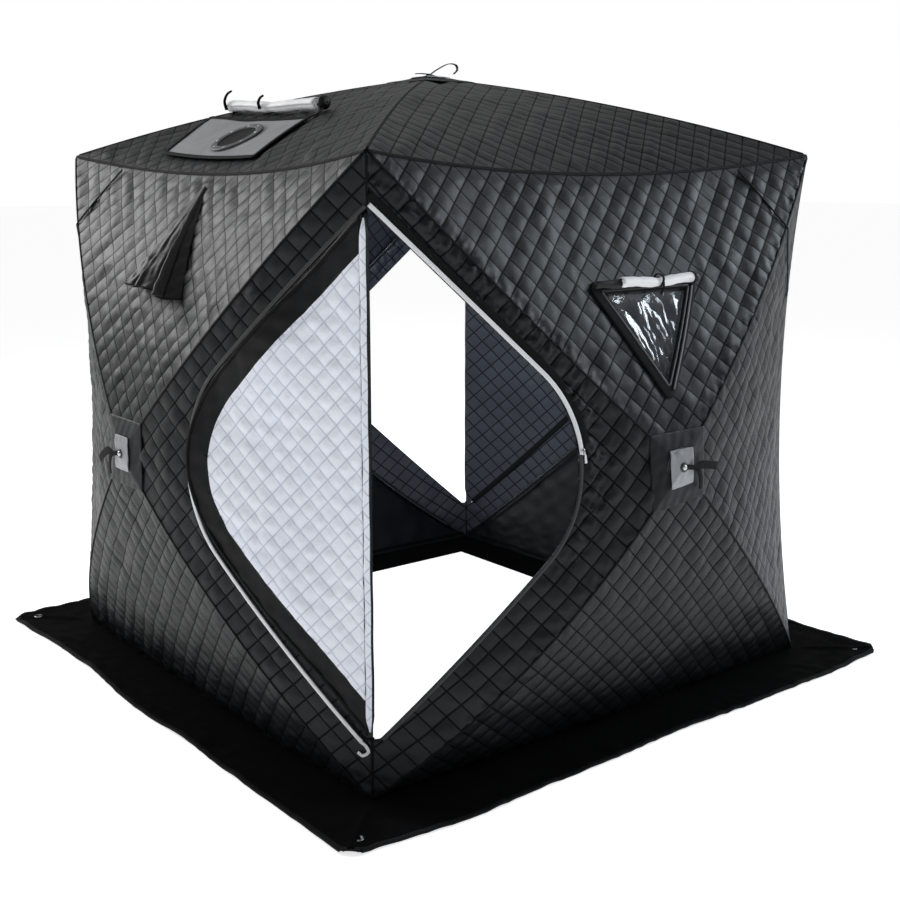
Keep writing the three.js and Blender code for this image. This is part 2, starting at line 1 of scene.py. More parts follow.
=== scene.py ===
"""Pop-up hub ice fishing shelter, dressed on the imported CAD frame.

Metres, +Z up, the front wall facing -Y and the left wall facing -X. Every quilted sheet follows the same
surface as the CAD: four rod ridges from a hub to the corners, with the sheet pulled in between. The back
and right sides are half-turn copies of the front and left."""

import math

import bpy
import numpy as np
from mathutils import Matrix, Vector

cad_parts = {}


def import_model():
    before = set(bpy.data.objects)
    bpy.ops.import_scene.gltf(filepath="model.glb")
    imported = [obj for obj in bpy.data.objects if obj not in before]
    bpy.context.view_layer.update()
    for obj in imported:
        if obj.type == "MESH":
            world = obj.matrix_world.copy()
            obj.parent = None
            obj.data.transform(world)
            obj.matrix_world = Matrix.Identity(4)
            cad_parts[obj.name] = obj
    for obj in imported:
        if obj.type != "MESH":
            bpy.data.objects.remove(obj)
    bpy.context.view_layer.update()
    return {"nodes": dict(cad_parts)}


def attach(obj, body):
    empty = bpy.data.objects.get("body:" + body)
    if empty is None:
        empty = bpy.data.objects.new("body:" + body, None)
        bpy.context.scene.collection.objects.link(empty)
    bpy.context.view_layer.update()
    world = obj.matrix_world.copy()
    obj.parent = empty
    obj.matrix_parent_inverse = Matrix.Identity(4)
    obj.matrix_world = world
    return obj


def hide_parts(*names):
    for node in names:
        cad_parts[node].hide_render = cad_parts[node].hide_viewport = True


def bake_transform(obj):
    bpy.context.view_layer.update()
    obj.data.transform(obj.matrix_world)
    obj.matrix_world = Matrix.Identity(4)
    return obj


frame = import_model()

# Driving dimensions, the same as the CAD
TOP_HALF = 0.900
FOOT_HALF = 0.930
CORNER_HEIGHT = 1.750
ROOF_HUB = 2.007
WALL_HUB = 0.860
WALL_OUT = 1.185
HUB_HOLE = 0.094
FABRIC = 0.008
SKIRT_THICK = 0.006
TOP_EDGE_PULL = 0.060
SIDE_CORNER_PULL = 0.065
DOOR_CORNER_PULL = 0.030
FOOT_EDGE_PUSH = 0.020
DOOR_TOP = 1.615
DOOR_BOTTOM = 0.175
DOOR_REACH = 0.570
NOSE_RADIUS = 0.374
DOOR_MIDDLE = (DOOR_TOP + DOOR_BOTTOM) / 2
DOOR_HALF = (DOOR_TOP - DOOR_BOTTOM) / 2
NOSE_CENTRE = DOOR_REACH - NOSE_RADIUS
LEAF_AXIS = 0.930
LEAF_FOLD_GAP = 0.012
LEAF_OPEN_DEG = 114.5
LEAF_STRETCH = 1 / math.cos(math.radians(16.47))

# Quilting: the grid of a sheet has CELLS cells a side, and a quilt line every QUILT_CELLS of them
CELLS = 216
QUILT_CELLS = 9
CELL_SIZE = 0.0085
QUILT_PERIOD = QUILT_CELLS * CELL_SIZE
PUFF = 0.0055
LEAF_QUILT_PERIOD = 0.060

# Cutting and smoothing of the sheets
RIDGE_REACH = 1.272
SNAP_REACH = 0.020
FLAT_REACH = 0.045
SLEEVE_WIDTH = 0.014
FOOT_PANEL = 2

UP = np.array([0.0, 0.0, 1.0])


# Small helpers

def unit(v):
    return v / np.maximum(np.linalg.norm(v, axis=-1, keepdims=True), 1e-9)


def arch(t):
    return 4 * t * (1 - t)


def ripple(x, y, seed, size, waves=14):
    """Smooth random waves about size metres long, from -1 to 1, the same on every run."""
    rng = np.random.default_rng(seed)
    total = np.zeros_like(x)
    for _ in range(waves):
        turn = rng.uniform(0, math.tau)
        length = size * rng.uniform(0.6, 1.7)
        phase = rng.uniform(0, math.tau)
        total += np.sin((x * math.cos(turn) + y * math.sin(turn)) * math.tau / length + phase)
    return total / math.sqrt(waves)


def smooth_step(x, low, high):
    t = np.clip((x - low) / (high - low), 0, 1)
    return t * t * (3 - 2 * t)


def fade(gap, width):
    """1 at no gap, falling to nearly 0 at twice the width."""
    return np.exp(-((gap / width) ** 2))


def sector(u, v):
    """Which of the four panels between two ridges a place is in: 0 top, 1 right, 2 foot, 3 left."""
    return np.where(v >= abs(u), 0, np.where(u > abs(v), 1, np.where(-v >= abs(u), 2, 3)))


def on_cloth(share):
    """A share of half a sheet's grid as metres of cloth."""
    return share * CELLS / 2 * CELL_SIZE


def run_length(points):
    """How far along a line each of its points is."""
    return np.concatenate([[0], np.cumsum(np.linalg.norm(np.diff(points, axis=0), axis=1))])


def cell_middles(places):
    return (places[1:, 1:] + places[:-1, :-1]) / 2


def ring_points(centre, across, along, radius, count):
    """Points once round a circle, the last on the first."""
    turns = np.linspace(0, math.tau, count)
    return [centre + (across * math.cos(t) + along * math.sin(t)) * radius for t in turns]


# The faces

class Face:
    def __init__(self, name, hub, right, up, out, corners, bends, sags, pulls):
        self.name = name
        self.hub = np.array(hub, float)
        self.right = np.array(right, float)
        self.up = np.array(up, float)
        self.out = np.array(out, float)
        self.corners = np.array(corners, float)
        self.bends = np.array(bends, float)
        self.sags = np.array(sags, float)
        self.pulls = np.array(pulls, float)

    def ridge(self, index, s):
        """The line that a rod makes in the sheet: s is 0 at the hub and 1 at the corner."""
        s = np.asarray(s, float)[..., None]
        point = self.hub + (self.corners[index] - self.hub) * s
        point = point + self.out * self.bends[index][..., None] * arch(s)
        return point - UP * self.sags[index][..., None] * arch(s)

    def sheet(self, u, v):
        """The sheet's middle: u from -1 to 1 to the right, v from -1 to 1 towards corners 0 and 1."""
        s = np.maximum(np.maximum(abs(u), abs(v)), 1e-6)
        index = sector(u, v)
        turns = np.stack([u, -v, -u, v])
        t = (1 + np.take_along_axis(turns, index[None], 0)[0] / s) / 2
        first = self.ridge(index, s)
        second = self.ridge((index + 1) % 4, s)
        t = t[..., None]
        return first * (1 - t) + second * t + self.pulls[index] * arch(t) * (s * s)[..., None]

    def normal(self, u, v, step=0.006):
        along = self.sheet(u + step, v) - self.sheet(u - step, v)
        across = self.sheet(u, v + step) - self.sheet(u, v - step)
        n = unit(np.cross(along, across))
        return np.where((n @ self.out)[..., None] < 0, -n, n)

    def plane(self, points):
        """Places across and up the face."""
        return np.stack([points @ self.right, points @ self.up], -1)

    def locate(self, across, height):
        """The u and v of the sheet points at these places across and up the face."""
        target = np.stack([np.asarray(across, float), np.asarray(height, float)], -1)
        middle = self.plane(self.hub)
        sign = -1.0 if self.up[2] == 0 else 1.0
        u = (target[..., 0] - middle[0]) / TOP_HALF
        v = sign * (target[..., 1] - middle[1]) / (CORNER_HEIGHT - WALL_HUB)
        return self.refine(u, v, target)

    def refine(self, u, v, target, rounds=12):
        step = 1e-4
        for _ in range(rounds):
            here = self.plane(self.sheet(u, v))
            du = (self.plane(self.sheet(u + step, v)) - here) / step
            dv = (self.plane(self.sheet(u, v + step)) - here) / step
            miss = target - here
            det = du[..., 0] * dv[..., 1] - du[..., 1] * dv[..., 0]
            det = np.where(abs(det) < 1e-6, 1e-6, det)
            u = u + np.clip((miss[..., 0] * dv[..., 1] - miss[..., 1] * dv[..., 0]) / det, -0.1, 0.1)
            v = v + np.clip((miss[..., 1] * du[..., 0] - miss[..., 0] * du[..., 1]) / det, -0.1, 0.1)
        return u, v


def diagonal(x, y, amount):
    return [-math.copysign(amount, x) / math.sqrt(2), -math.copysign(amount, y) / math.sqrt(2), 0]


T, F, H = TOP_HALF, FOOT_HALF, CORNER_HEIGHT
FRONT = Face(
    "front", (0, -WALL_OUT, WALL_HUB), (1, 0, 0), (0, 0, 1), (0, -1, 0),
    [(-T, -T, H), (T, -T, H), (F, -F, SKIRT_THICK), (-F, -F, SKIRT_THICK)],
    [0, 0.04, 0.05, 0.05], [0.015, 0, 0, 0.055],
    [(0, TOP_EDGE_PULL, -TOP_EDGE_PULL), diagonal(1, -1, SIDE_CORNER_PULL),
     (0, -FOOT_EDGE_PUSH, 0), diagonal(-1, -1, DOOR_CORNER_PULL)],
)
LEFT = Face(
    "left", (-WALL_OUT, 0, WALL_HUB), (0, -1, 0), (0, 0, 1), (-1, 0, 0),
    [(-T, T, H), (-T, -T, H), (-F, -F, SKIRT_THICK), (-F, F, SKIRT_THICK)],
    [0.04, 0.04, 0.05, 0.05], [0, 0, 0, 0],
    [(TOP_EDGE_PULL, 0, -TOP_EDGE_PULL), diagonal(-1, -1, DOOR_CORNER_PULL),
     (-FOOT_EDGE_PUSH, 0, 0), diagonal(-1, 1, SIDE_CORNER_PULL)],
)
ROOF = Face(
    "roof", (0, 0, ROOF_HUB), (1, 0, 0), (0, 1, 0), (0, 0, 1),
    [(-T, -T, H), (T, -T, H), (T, T, H), (-T, T, H)],
    [0.03, 0.03, 0.03, 0.03], [0, 0, 0, 0],
    [(0, TOP_EDGE_PULL, -TOP_EDGE_PULL), (-TOP_EDGE_PULL, 0, -TOP_EDGE_PULL),
     (0, -TOP_EDGE_PULL, -TOP_EDGE_PULL), (TOP_EDGE_PULL, 0, -TOP_EDGE_PULL)],
)
OPPOSITE = {"front": "back", "left": "right", "right": "left", "near": "far"}


def opposite(name):
    """The name of the piece, body or node that is on the other side by a half turn."""
    return "_".join(OPPOSITE.get(word, word) for word in name.split("_"))


# Materials

class Nodes:
    """A material under construction: a Principled shader and short calls to put nodes before it."""

    def __init__(self, name, colour, roughness, specular=0.5, metallic=0.0, sheen=0.0):
        self.material = bpy.data.materials.new(name)
        self.material.use_nodes = True
        self.tree = self.material.node_tree
        self.shader = self.tree.nodes["Principled BSDF"]
        self.set(self.shader, "Base Color", (*colour, 1))
        self.set(self.shader, "Roughness", roughness)
        self.set(self.shader, "Specular IOR Level", specular)
        self.set(self.shader, "Metallic", metallic)
        self.set(self.shader, "Sheen Weight", sheen)
        self.set(self.shader, "Sheen Roughness", 0.45)

    def set(self, node, socket, value):
        node.inputs[socket].default_value = value

    def feed(self, node, socket, value):
        if isinstance(value, bpy.types.NodeSocket):
            self.tree.links.new(value, node.inputs[socket])
        else:
            node.inputs[socket].default_value = value

    def node(self, kind, **settings):
        made = self.tree.nodes.new(kind)
        for key, value in settings.items():
            setattr(made, key, value)
        return made

    def place(self, kind="UV"):
        return self.node("ShaderNodeTexCoord").outputs[kind]

    def math(self, operation, a, b=0.0, c=0.0):
        made = self.node("ShaderNodeMath", operation=operation)
        for i, value in enumerate((a, b, c)):
            self.feed(made, i, value)
        return made.outputs[0]

    def noise(self, place, scale, detail=3.0, roughness=0.55, distortion=0.0):
        made = self.node("ShaderNodeTexNoise")
        self.feed(made, "Vector", place)
        self.set(made, "Scale", scale)
        self.set(made, "Detail", detail)
        self.set(made, "Roughness", roughness)
        self.set(made, "Distortion", distortion)
        return made.outputs["Fac"]

    def spread(self, value, low, high, new_low=0.0, new_high=1.0):
        made = self.node("ShaderNodeMapRange")
        self.feed(made, "Value", value)
        self.set(made, "From Min", low)
        self.set(made, "From Max", high)
        self.set(made, "To Min", new_low)
        self.set(made, "To Max", new_high)
        return made.outputs["Result"]

    def mix(self, factor, a, b):
        made = self.node("ShaderNodeMix", data_type="RGBA")
        self.feed(made, 0, factor)
        for i, value in ((6, a), (7, b)):
            self.feed(made, i, (*value, 1) if isinstance(value, tuple) and len(value) == 3 else value)
        return made.outputs[2]

    def waves(self, place, direction, period):
        made = self.node("ShaderNodeTexWave", wave_type="BANDS", bands_direction=direction)
        self.feed(made, "Vector", place)
        self.set(made, "Scale", math.tau / (20 * period))
        return made.outputs["Fac"]

    def weave(self, place, period):
        return self.math("MULTIPLY", self.waves(place, "X", period), self.waves(place, "Y", period))

    def bump(self, height, strength, distance, before=None):
        made = self.node("ShaderNodeBump")
        self.set(made, "Strength", strength)
        self.set(made, "Distance", distance)
        self.feed(made, "Height", height)
        if before is not None:
            self.feed(made, "Normal", before)
        return made.outputs["Normal"]

    def finish(self, colour=None, roughness=None, normal=None):
        for socket, value in (("Base Color", colour), ("Roughness", roughness), ("Normal", normal)):
            if value is not None:
                self.feed(self.shader, socket, value)
        return self.material

    def line_nearness(self, place, sign, period):
        """1 on the quilt lines of one family, falling to 0 half a period away."""
        split = self.node("ShaderNodeSeparateXYZ")
        self.feed(split, 0, place)
        along = self.math("MULTIPLY_ADD", split.outputs[1], sign, split.outputs[0])
        share = self.math("FRACT", self.math("DIVIDE", along, period))
        return self.math("MULTIPLY", self.math("ABSOLUTE", self.math("SUBTRACT", share, 0.5)), 2.0)


def quilted_cloth(name, dark, light, painted_groove_shade, thread, period, roughness, sheen, wrinkle, specular=0.5):
    """Woven shell cloth, with painted shade darkening the stitched grooves, and a broken thread line in
    each of them.
    """
    m = Nodes(name, light, roughness, specular=specular, sheen=sheen)
    place = m.place()
    patches = m.spread(m.noise(place, 2.6, 4.0), 0.32, 0.68)
    specks = m.noise(place, 900.0, 2.0)
    base = m.mix(patches, dark, light)
    base = m.mix(m.spread(specks, 0.3, 0.7, 0.0, 0.25), base, dark)
    near_a = m.line_nearness(place, -1.0, period)
    near_b = m.line_nearness(place, 1.0, period)
    near = m.math("MAXIMUM", near_a, m.math("MULTIPLY", near_b, 0.985))
    # painted shade: near the quilt lines the colour is mixed towards a darker shade colour, standing in for
    # shadow in the stitched dips
    base = m.mix(m.spread(near, 0.86, 0.955), base, painted_groove_shade)
    dashes = m.math("GREATER_THAN", m.waves(place, "Y", 0.0034), 0.42)
    on_line = m.math("GREATER_THAN", near, 0.972)
    base = m.mix(m.math("MULTIPLY", on_line, m.math("MULTIPLY", dashes, 0.75)), base, thread)
    rough = m.spread(m.noise(place, 14.0, 4.0), 0.3, 0.7, roughness - 0.03, roughness + 0.05)
    shine = m.spread(near, 0.85, 0.955, specular, specular * 0.08)
    m.feed(m.shader, "Specular IOR Level", shine)
    normal = m.bump(m.noise(place, 38.0, 5.0, 0.62, 1.4), 0.5, wrinkle)
    normal = m.bump(m.weave(place, 0.0011), 0.35, 0.00025, normal)
    normal = m.bump(m.math("MULTIPLY", on_line, dashes), 0.5, 0.0006, normal)
    return m.finish(base, rough, normal)


def plain_cloth(name, dark, light, roughness, specular, wrinkle, period=0.0014):
    m = Nodes(name, light, roughness, specular=specular)
    place = m.place()
    base = m.mix(m.spread(m.noise(place, 5.0, 4.0), 0.35, 0.65), dark, light)
    weave = m.weave(place, period)
    base = m.mix(m.spread(weave, 0.0, 0.6, 0.35, 0.0), base, dark)
    smoothest, roughest = max(roughness - 0.08, 0.05), min(roughness + 0.08, 1.0)
    rough = m.spread(m.noise(place, 20.0, 3.0), 0.3, 0.7, smoothest, roughest)
    normal = m.bump(m.noise(place, 30.0, 4.0, 0.6, 1.0), 0.5, wrinkle)
    normal = m.bump(weave, 0.4, 0.0003, normal)
    return m.finish(base, rough, normal)


def webbing(name, dark, light):
    """Ribbed grosgrain or webbing."""
    m = Nodes(name, light, 0.7, specular=0.14)
    place = m.place()
    ribs = m.waves(place, "Y", 0.0016)
    base = m.mix(m.spread(ribs, 0.1, 0.9), dark, light)
    base = m.mix(m.spread(m.noise(place, 60.0, 3.0), 0.35, 0.75, 0.0, 0.5), base, dark)
    normal = m.bump(ribs, 0.6, 0.0005)
    normal = m.bump(m.noise(place, 350.0, 2.0), 0.25, 0.0003, normal)
    return m.finish(base, None, normal)


def zip_tape(name, dark, light):
    m = Nodes(name, light, 0.42, specular=0.5)
    place = m.place()
    teeth = m.waves(place, "Y", 0.0031)
    base = m.mix(m.spread(teeth, 0.2, 0.8), dark, light)
    base = m.mix(m.spread(m.noise(place, 30.0, 3.0), 0.45, 0.8, 0.0, 0.4), base, dark)
    return m.finish(base, None, m.bump(teeth, 0.6, 0.0006))


def moulded(name, colour, roughness, specular=0.5, metallic=0.0, grain=420.0, scratch=0.25):
    """Moulded plastic, glass fibre or metal, with a fine grain and worn patches."""
    m = Nodes(name, colour, roughness, specular=specular, metallic=metallic)
    place = m.place("Object")
    worn = m.spread(m.noise(place, 24.0, 5.0, 0.65), 0.45, 0.8)
    lighter = tuple(min(c * 1.9 + 0.012, 1.0) for c in colour)
    base = m.mix(m.math("MULTIPLY", worn, scratch), colour, lighter)
    rough = m.spread(m.noise(place, 70.0, 3.0), 0.3, 0.7, max(roughness - 0.1, 0.05), roughness + 0.12)
    return m.finish(base, rough, m.bump(m.noise(place, grain, 2.0), 0.2, 0.0003))


def clear_film():
    """Thin clear vinyl, slightly smoky, with handling marks."""
    m = Nodes("clear_vinyl", (0.80, 0.81, 0.80), 0.06, specular=0.6)
    m.set(m.shader, "Transmission Weight", 1.0)
    m.set(m.shader, "IOR", 1.38)
    place = m.place()
    rough = m.spread(m.noise(place, 24.0, 4.0), 0.4, 0.75, 0.03, 0.12)
    normal = m.bump(m.noise(place, 26.0, 3.0, 0.55, 1.2), 0.4, 0.0016)
    return m.finish(None, rough, normal)


def silver_cloth():
    """Coated heat-proof cloth of the stove jack."""
    m = Nodes("heat_proof_silver", (0.34, 0.345, 0.355), 0.55, specular=0.3)
    place = m.place()
    patches = m.spread(m.noise(place, 9.0, 4.0), 0.3, 0.7)
    base = m.mix(patches, (0.27, 0.275, 0.285), (0.37, 0.375, 0.39))
    weave = m.weave(place, 0.0017)
    base = m.mix(m.spread(weave, 0.0, 0.5, 0.3, 0.0), base, (0.09, 0.09, 0.095))
    normal = m.bump(m.noise(place, 16.0, 4.0, 0.6, 0.8), 0.5, 0.004)
    return m.finish(base, None, m.bump(weave, 0.4, 0.0003, normal))


# The third colour of each quilted cloth is painted shade for its stitched grooves, not a dye
QUILT = quilted_cloth(
    "quilted_shell", dark=(0.0038, 0.0045, 0.0058), light=(0.0078, 0.0089, 0.0112),
    painted_groove_shade=(0.0008, 0.0008, 0.0010), thread=(0.020, 0.022, 0.026), period=QUILT_PERIOD,
    roughness=0.44, sheen=0.0, wrinkle=0.0012, specular=0.25)
LINING = quilted_cloth(
    "quilted_lining", dark=(0.022, 0.025, 0.034), light=(0.038, 0.043, 0.055),
    painted_groove_shade=(0.004, 0.004, 0.006), thread=(0.04, 0.042, 0.050), period=QUILT_PERIOD,
    roughness=0.5, sheen=0.0, wrinkle=0.0015, specular=0.4)
WHITE_QUILT = quilted_cloth(
    "white_quilted_lining", dark=(0.74, 0.78, 0.88), light=(0.83, 0.86, 0.93),
    painted_groove_shade=(0.50, 0.54, 0.66), thread=(0.88, 0.88, 0.92), period=LEAF_QUILT_PERIOD,
    roughness=0.4, sheen=0.05, wrinkle=0.003)
PLAIN_BLACK = plain_cloth("plain_black_cloth", (0.0035, 0.0037, 0.0045), (0.0065, 0.007, 0.0085),
                          roughness=0.55, specular=0.18, wrinkle=0.002)
PATCH_CLOTH = plain_cloth("patch_cloth", (0.0065, 0.0072, 0.0090), (0.010, 0.011, 0.0135),
                          roughness=0.5, specular=0.2, wrinkle=0.0012)
FLAP_BLACK = plain_cloth("crinkled_black_cloth", (0.004, 0.004, 0.005), (0.010, 0.010, 0.012),
                         roughness=0.45, specular=0.3, wrinkle=0.005)
SKIRT_BLACK = plain_cloth("snow_skirt_cloth", (0.0010, 0.0010, 0.0011), (0.0020, 0.0020, 0.0022),
                          roughness=0.85, specular=0.04, wrinkle=0.003)
WHITE_CLOTH = plain_cloth("white_cover_cloth", (0.86, 0.87, 0.89), (0.95, 0.955, 0.96),
                          roughness=0.55, specular=0.4, wrinkle=0.003)
BINDING = webbing("black_binding_tape", (0.0016, 0.0016, 0.0018), (0.0045, 0.0045, 0.005))
STRAP = webbing("black_webbing", (0.0016, 0.0016, 0.0018), (0.006, 0.006, 0.0065))
REFLECTIVE = plain_cloth("grey_patch_tape", (0.20, 0.21, 0.22), (0.33, 0.34, 0.36),
                         roughness=0.38, specular=0.6, wrinkle=0.002, period=0.0012)
ZIP_WHITE = zip_tape("white_zip", (0.60, 0.62, 0.64), (0.86, 0.87, 0.88))
ZIP_BLACK = zip_tape("black_zip", (0.006, 0.006, 0.007), (0.03, 0.03, 0.032))
SILVER = silver_cloth()
FILM = clear_film()
PLASTIC = moulded("black_moulded_plastic", (0.014, 0.014, 0.016), 0.42)
GREY_PLASTIC = moulded("grey_ring", (0.085, 0.088, 0.092), 0.45, specular=0.3, scratch=0.4)
ROD = moulded("glass_fibre_rod", (0.010, 0.011, 0.014), 0.28, grain=900.0)
STEEL = moulded("steel", (0.52, 0.53, 0.54), 0.28, metallic=1.0, grain=900.0)
PIPE_MESH = plain_cloth("dark_pipe_mesh", (0.003, 0.003, 0.0035), (0.016, 0.016, 0.018),
                        roughness=0.7, specular=0.15, wrinkle=0.001, period=0.0026)


# Making objects

def add_object(name, data):
    made = bpy.data.objects.new(name, data)
    bpy.context.scene.collection.objects.link(made)
    return made


def make_object(name, points, faces, materials, face_materials=None, uv=None):
    mesh = bpy.data.meshes.new(name)
    mesh.from_pydata(np.asarray(points).tolist(), [], faces)
    for material in materials:
        mesh.materials.append(material)
    if face_materials is not None:
        mesh.polygons.foreach_set("material_index", np.asarray(face_materials, np.int32))
    if uv is not None:
        layer = mesh.uv_layers.new(name="UVMap")
        corner = np.zeros(len(mesh.loops), np.int32)
        mesh.loops.foreach_get("vertex_index", corner)
        layer.data.foreach_set("uv", np.asarray(uv, np.float32)[corner].ravel())
    mesh.polygons.foreach_set("use_smooth", np.ones(len(mesh.polygons), bool))
    mesh.update()
    return add_object(name, mesh)


def cut_size(grid):
    """The flat width and length of a grid of points, as the mean lengths of its rows and columns."""
    width = np.linalg.norm(np.diff(grid, axis=0), axis=-1).sum(0).mean()
    length = np.linalg.norm(np.diff(grid, axis=1), axis=-1).sum(1).mean()
    return float(width), float(length)


def half_turn(source):
    """A copy of a piece on the opposite side of the shelter."""
    mesh = source.data.copy()
    mesh.name = opposite(source.name)
    mesh.transform(Matrix.Rotation(math.pi, 4, "Z"))
    return add_object(opposite(source.name), mesh)


def with_twin(made, twin):
    return [made, half_turn(made)] if twin else [made]


def mark(nodes, twin):
    """Hides the CAD nodes that the piece replaces, or their half-turn opposites for a copy."""
    if nodes:
        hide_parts(*[opposite(node) if twin else node for node in nodes])


def follow(made):
    """Bakes the piece's transform into its mesh."""
    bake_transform(made)


def settle(made):
    """Bakes a sewn piece's transform into its mesh."""
    follow(made)


def sewn(made, face, nodes=()):
    """Bakes a piece made on a face, and off the roof its half-turn copy for the opposite face, and hides
    the CAD nodes that they replace.
    """
    result = with_twin(made, face is not ROOF)
    for i, piece in enumerate(result):
        settle(piece)
        mark(nodes, bool(i))
    return result


def riding(made, body, nodes=(), twin=True):
    """Puts a piece on one body, and its half-turn copy on the opposite body."""
    result = with_twin(made, twin)
    for i, piece in enumerate(result):
        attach(piece, opposite(body) if i else body)
        mark(nodes, bool(i))
    return result


# Cutting grids to an outline

def inside(outline, points):
    x, y = points[..., 0], points[..., 1]
    odd = np.zeros(x.shape, bool)
    for (x1, y1), (x2, y2) in zip(outline, np.roll(outline, -1, axis=0)):
        if y1 == y2:
            continue
        crosses = (y1 > y) != (y2 > y)
        odd ^= crosses & (x < (x2 - x1) * (y - y1) / (y2 - y1) + x1)
    return odd


def dense(outline, closed=True, step=0.002):
    outline = np.asarray(outline, float)
    ends = np.roll(outline, -1, axis=0) if closed else outline[1:]
    starts = outline if closed else outline[:-1]
    pieces = []
    for a, b in zip(starts, ends):
        count = max(int(np.linalg.norm(b - a) / step), 1)
        pieces.append(a + (b - a) * (np.arange(count) / count)[:, None])
    if not closed:
        pieces.append(outline[-1:])
    return np.concatenate(pieces)


def nearest(samples, points):
    """The nearest sample to each point, and how far away it is."""
    found = np.zeros(points.shape)
    gap = np.zeros(len(points))
    for i in range(0, len(points), 2000):
        part = points[i:i + 2000]
        d = np.linalg.norm(part[:, None] - samples[None], axis=-1)
        best = d.argmin(1)
        found[i:i + 2000] = samples[best]
        gap[i:i + 2000] = d[np.arange(len(part)), best]
    return found, gap


def touching(kept):
    """For each grid vertex, whether a kept cell and whether a left-out cell touches it."""
    rows, columns = kept.shape
    some = np.zeros((rows + 1, columns + 1), bool)
    gone = np.zeros((rows + 1, columns + 1), bool)
    for a in (0, 1):
        for b in (0, 1):
            some[a:rows + a, b:columns + b] |= kept
            gone[a:rows + a, b:columns + b] |= ~kept
    return some, gone


def snap(places, chosen, outline, reach):
    """Moves the chosen grid points that are within reach of an outline onto it."""
    snapped = places[chosen]
    target, gap = nearest(dense(outline), snapped)
    snapped[gap < reach] = target[gap < reach]
    places[chosen] = snapped


def part_of(name, points, faces, materials, slots, uv):
    """An object from some of the faces, with only the points that they use."""
    used, faces = np.unique(faces, return_inverse=True)
    return make_object(name, points[used], faces.reshape(-1, 3).tolist(), materials, slots, uv[used])


def grid_solid(name, outer, inner, kept, uv, materials, outer_slots=0, inner_slots=0, rim_slot=0,
               flip=False, lining=None):
    """A closed thin mesh between two grids of points, over the kept cells only.
    With a lining name the inner side is an object of its own, and the outer side keeps the rim."""
    used, _ = touching(kept)
    number = np.full(used.shape, -1)
    number[used] = np.arange(used.sum())
    count = int(used.sum())
    points = np.concatenate([outer[used], inner[used]])
    flat_uv = np.concatenate([uv[used], uv[used]])
    i, j = np.nonzero(kept)
    a, b, c, d = number[i, j], number[i + 1, j], number[i + 1, j + 1], number[i, j + 1]
    main = ((i - j) % QUILT_CELLS == 0)[:, None]
    main |= (((i + j + 1) % QUILT_CELLS != 0) & ((i + j) % 2 == 0))[:, None]
    first = np.where(main, np.stack([a, b, c], 1), np.stack([a, b, d], 1))
    second = np.where(main, np.stack([a, c, d], 1), np.stack([b, c, d], 1))
    rim = grid_rim(kept, (a, b, c, d), i, j, count)
    faces = np.concatenate([first, second, first[:, ::-1] + count, second[:, ::-1] + count, rim])
    if flip:
        faces = faces[:, ::-1]
    outside = np.broadcast_to(outer_slots, kept.shape)[i, j]
    inside_slots = np.broadcast_to(inner_slots, kept.shape)[i, j]
    slots = np.concatenate([outside] * 2 + [inside_slots] * 2 + [np.full(len(rim), rim_slot)])
    if not lining:
        return make_object(name, points, faces.tolist(), materials, slots, flat_uv)
    side = len(first) * 2
    front = np.concatenate([np.arange(side), np.arange(side * 2, len(faces))])
    back = np.arange(side, side * 2)
    return (part_of(name, points, faces[front], materials, slots[front], flat_uv),
            part_of(lining, points, faces[back], materials, slots[back], flat_uv))


def grid_rim(kept, corners, i, j, count):
    """The triangles that close the edges between the two grids."""
    a, b, c, d = corners
    padded = np.pad(kept, 1)
    sides = []
    for p, q, di, dj in ((a, b, 0, -1), (b, c, 1, 0), (c, d, 0, 1), (d, a, -1, 0)):
        edge = ~padded[i + 1 + di, j + 1 + dj]
        p, q = p[edge], q[edge]
        sides.append(np.stack([q, p, p + count], 1))
        sides.append(np.stack([q, p + count, q + count], 1))
    return np.concatenate(sides)


def quilt_height(u, v, cross):
    """Puff of the quilting from 0 on the stitch lines to 1 between them."""
    i = (u + 1) * CELLS / 2
    j = (v + 1) * CELLS / 2
    half = QUILT_CELLS / 2
    main = np.sqrt(np.maximum(1 - abs((i - j) % QUILT_CELLS - half) / half, 0))
    other = np.sqrt(np.maximum(1 - abs((i + j) % QUILT_CELLS - half) / half, 0))
    return main * (1 - cross + cross * other) * (1 - 0.25 * cross) + 0.25 * cross * np.minimum(main, other)


def flatness(face, base, outlines, reach):
    """0 inside the outlines, where something is sewn on, rising to 1 at reach metres from them."""
    places = face.plane(base).reshape(-1, 2)
    share = np.ones(len(places))
    for outline in outlines:
        low, high = outline.min(0) - reach, outline.max(0) + reach
        close = np.all((places > low) & (places < high), axis=1)
        _, gap = nearest(dense(outline, step=0.006), places[close])
        gap[inside(outline, places[close])] = 0
        share[close] = np.minimum(share[close], smooth_step(gap, 0.0, reach))
    return share.reshape(base.shape[:-1])


def kept_cells(face, u, v, holes, within):
    """The cells of a sheet's grid that are cloth, less the hole round the hub."""
    middles = face.plane(face.sheet(cell_middles(u), cell_middles(v)))
    kept = np.ones((CELLS, CELLS), bool)
    for hole in holes:
        kept &= ~inside(hole, middles)
    if within is not None:
        kept &= inside(within, middles)
    reach = int(HUB_HOLE / RIDGE_REACH * CELLS / 2)
    hub = slice(CELLS // 2 - reach, CELLS // 2 + reach)
    kept[hub, hub] = False
    return kept


def fit_to_cuts(face, u, v, kept, cuts):
    """Moves the grid points beside the cut lines onto them."""
    some, gone = touching(kept)
    border = some & gone
    samples = np.concatenate([dense(cut) for cut in cuts])
    target, gap = nearest(samples, face.plane(face.sheet(u[border], v[border])))
    move = gap < SNAP_REACH
    bu, bv = u[border], v[border]
    bu[move], bv[move] = face.refine(bu[move], bv[move], target[move], rounds=6)
    u[border], v[border] = bu, bv


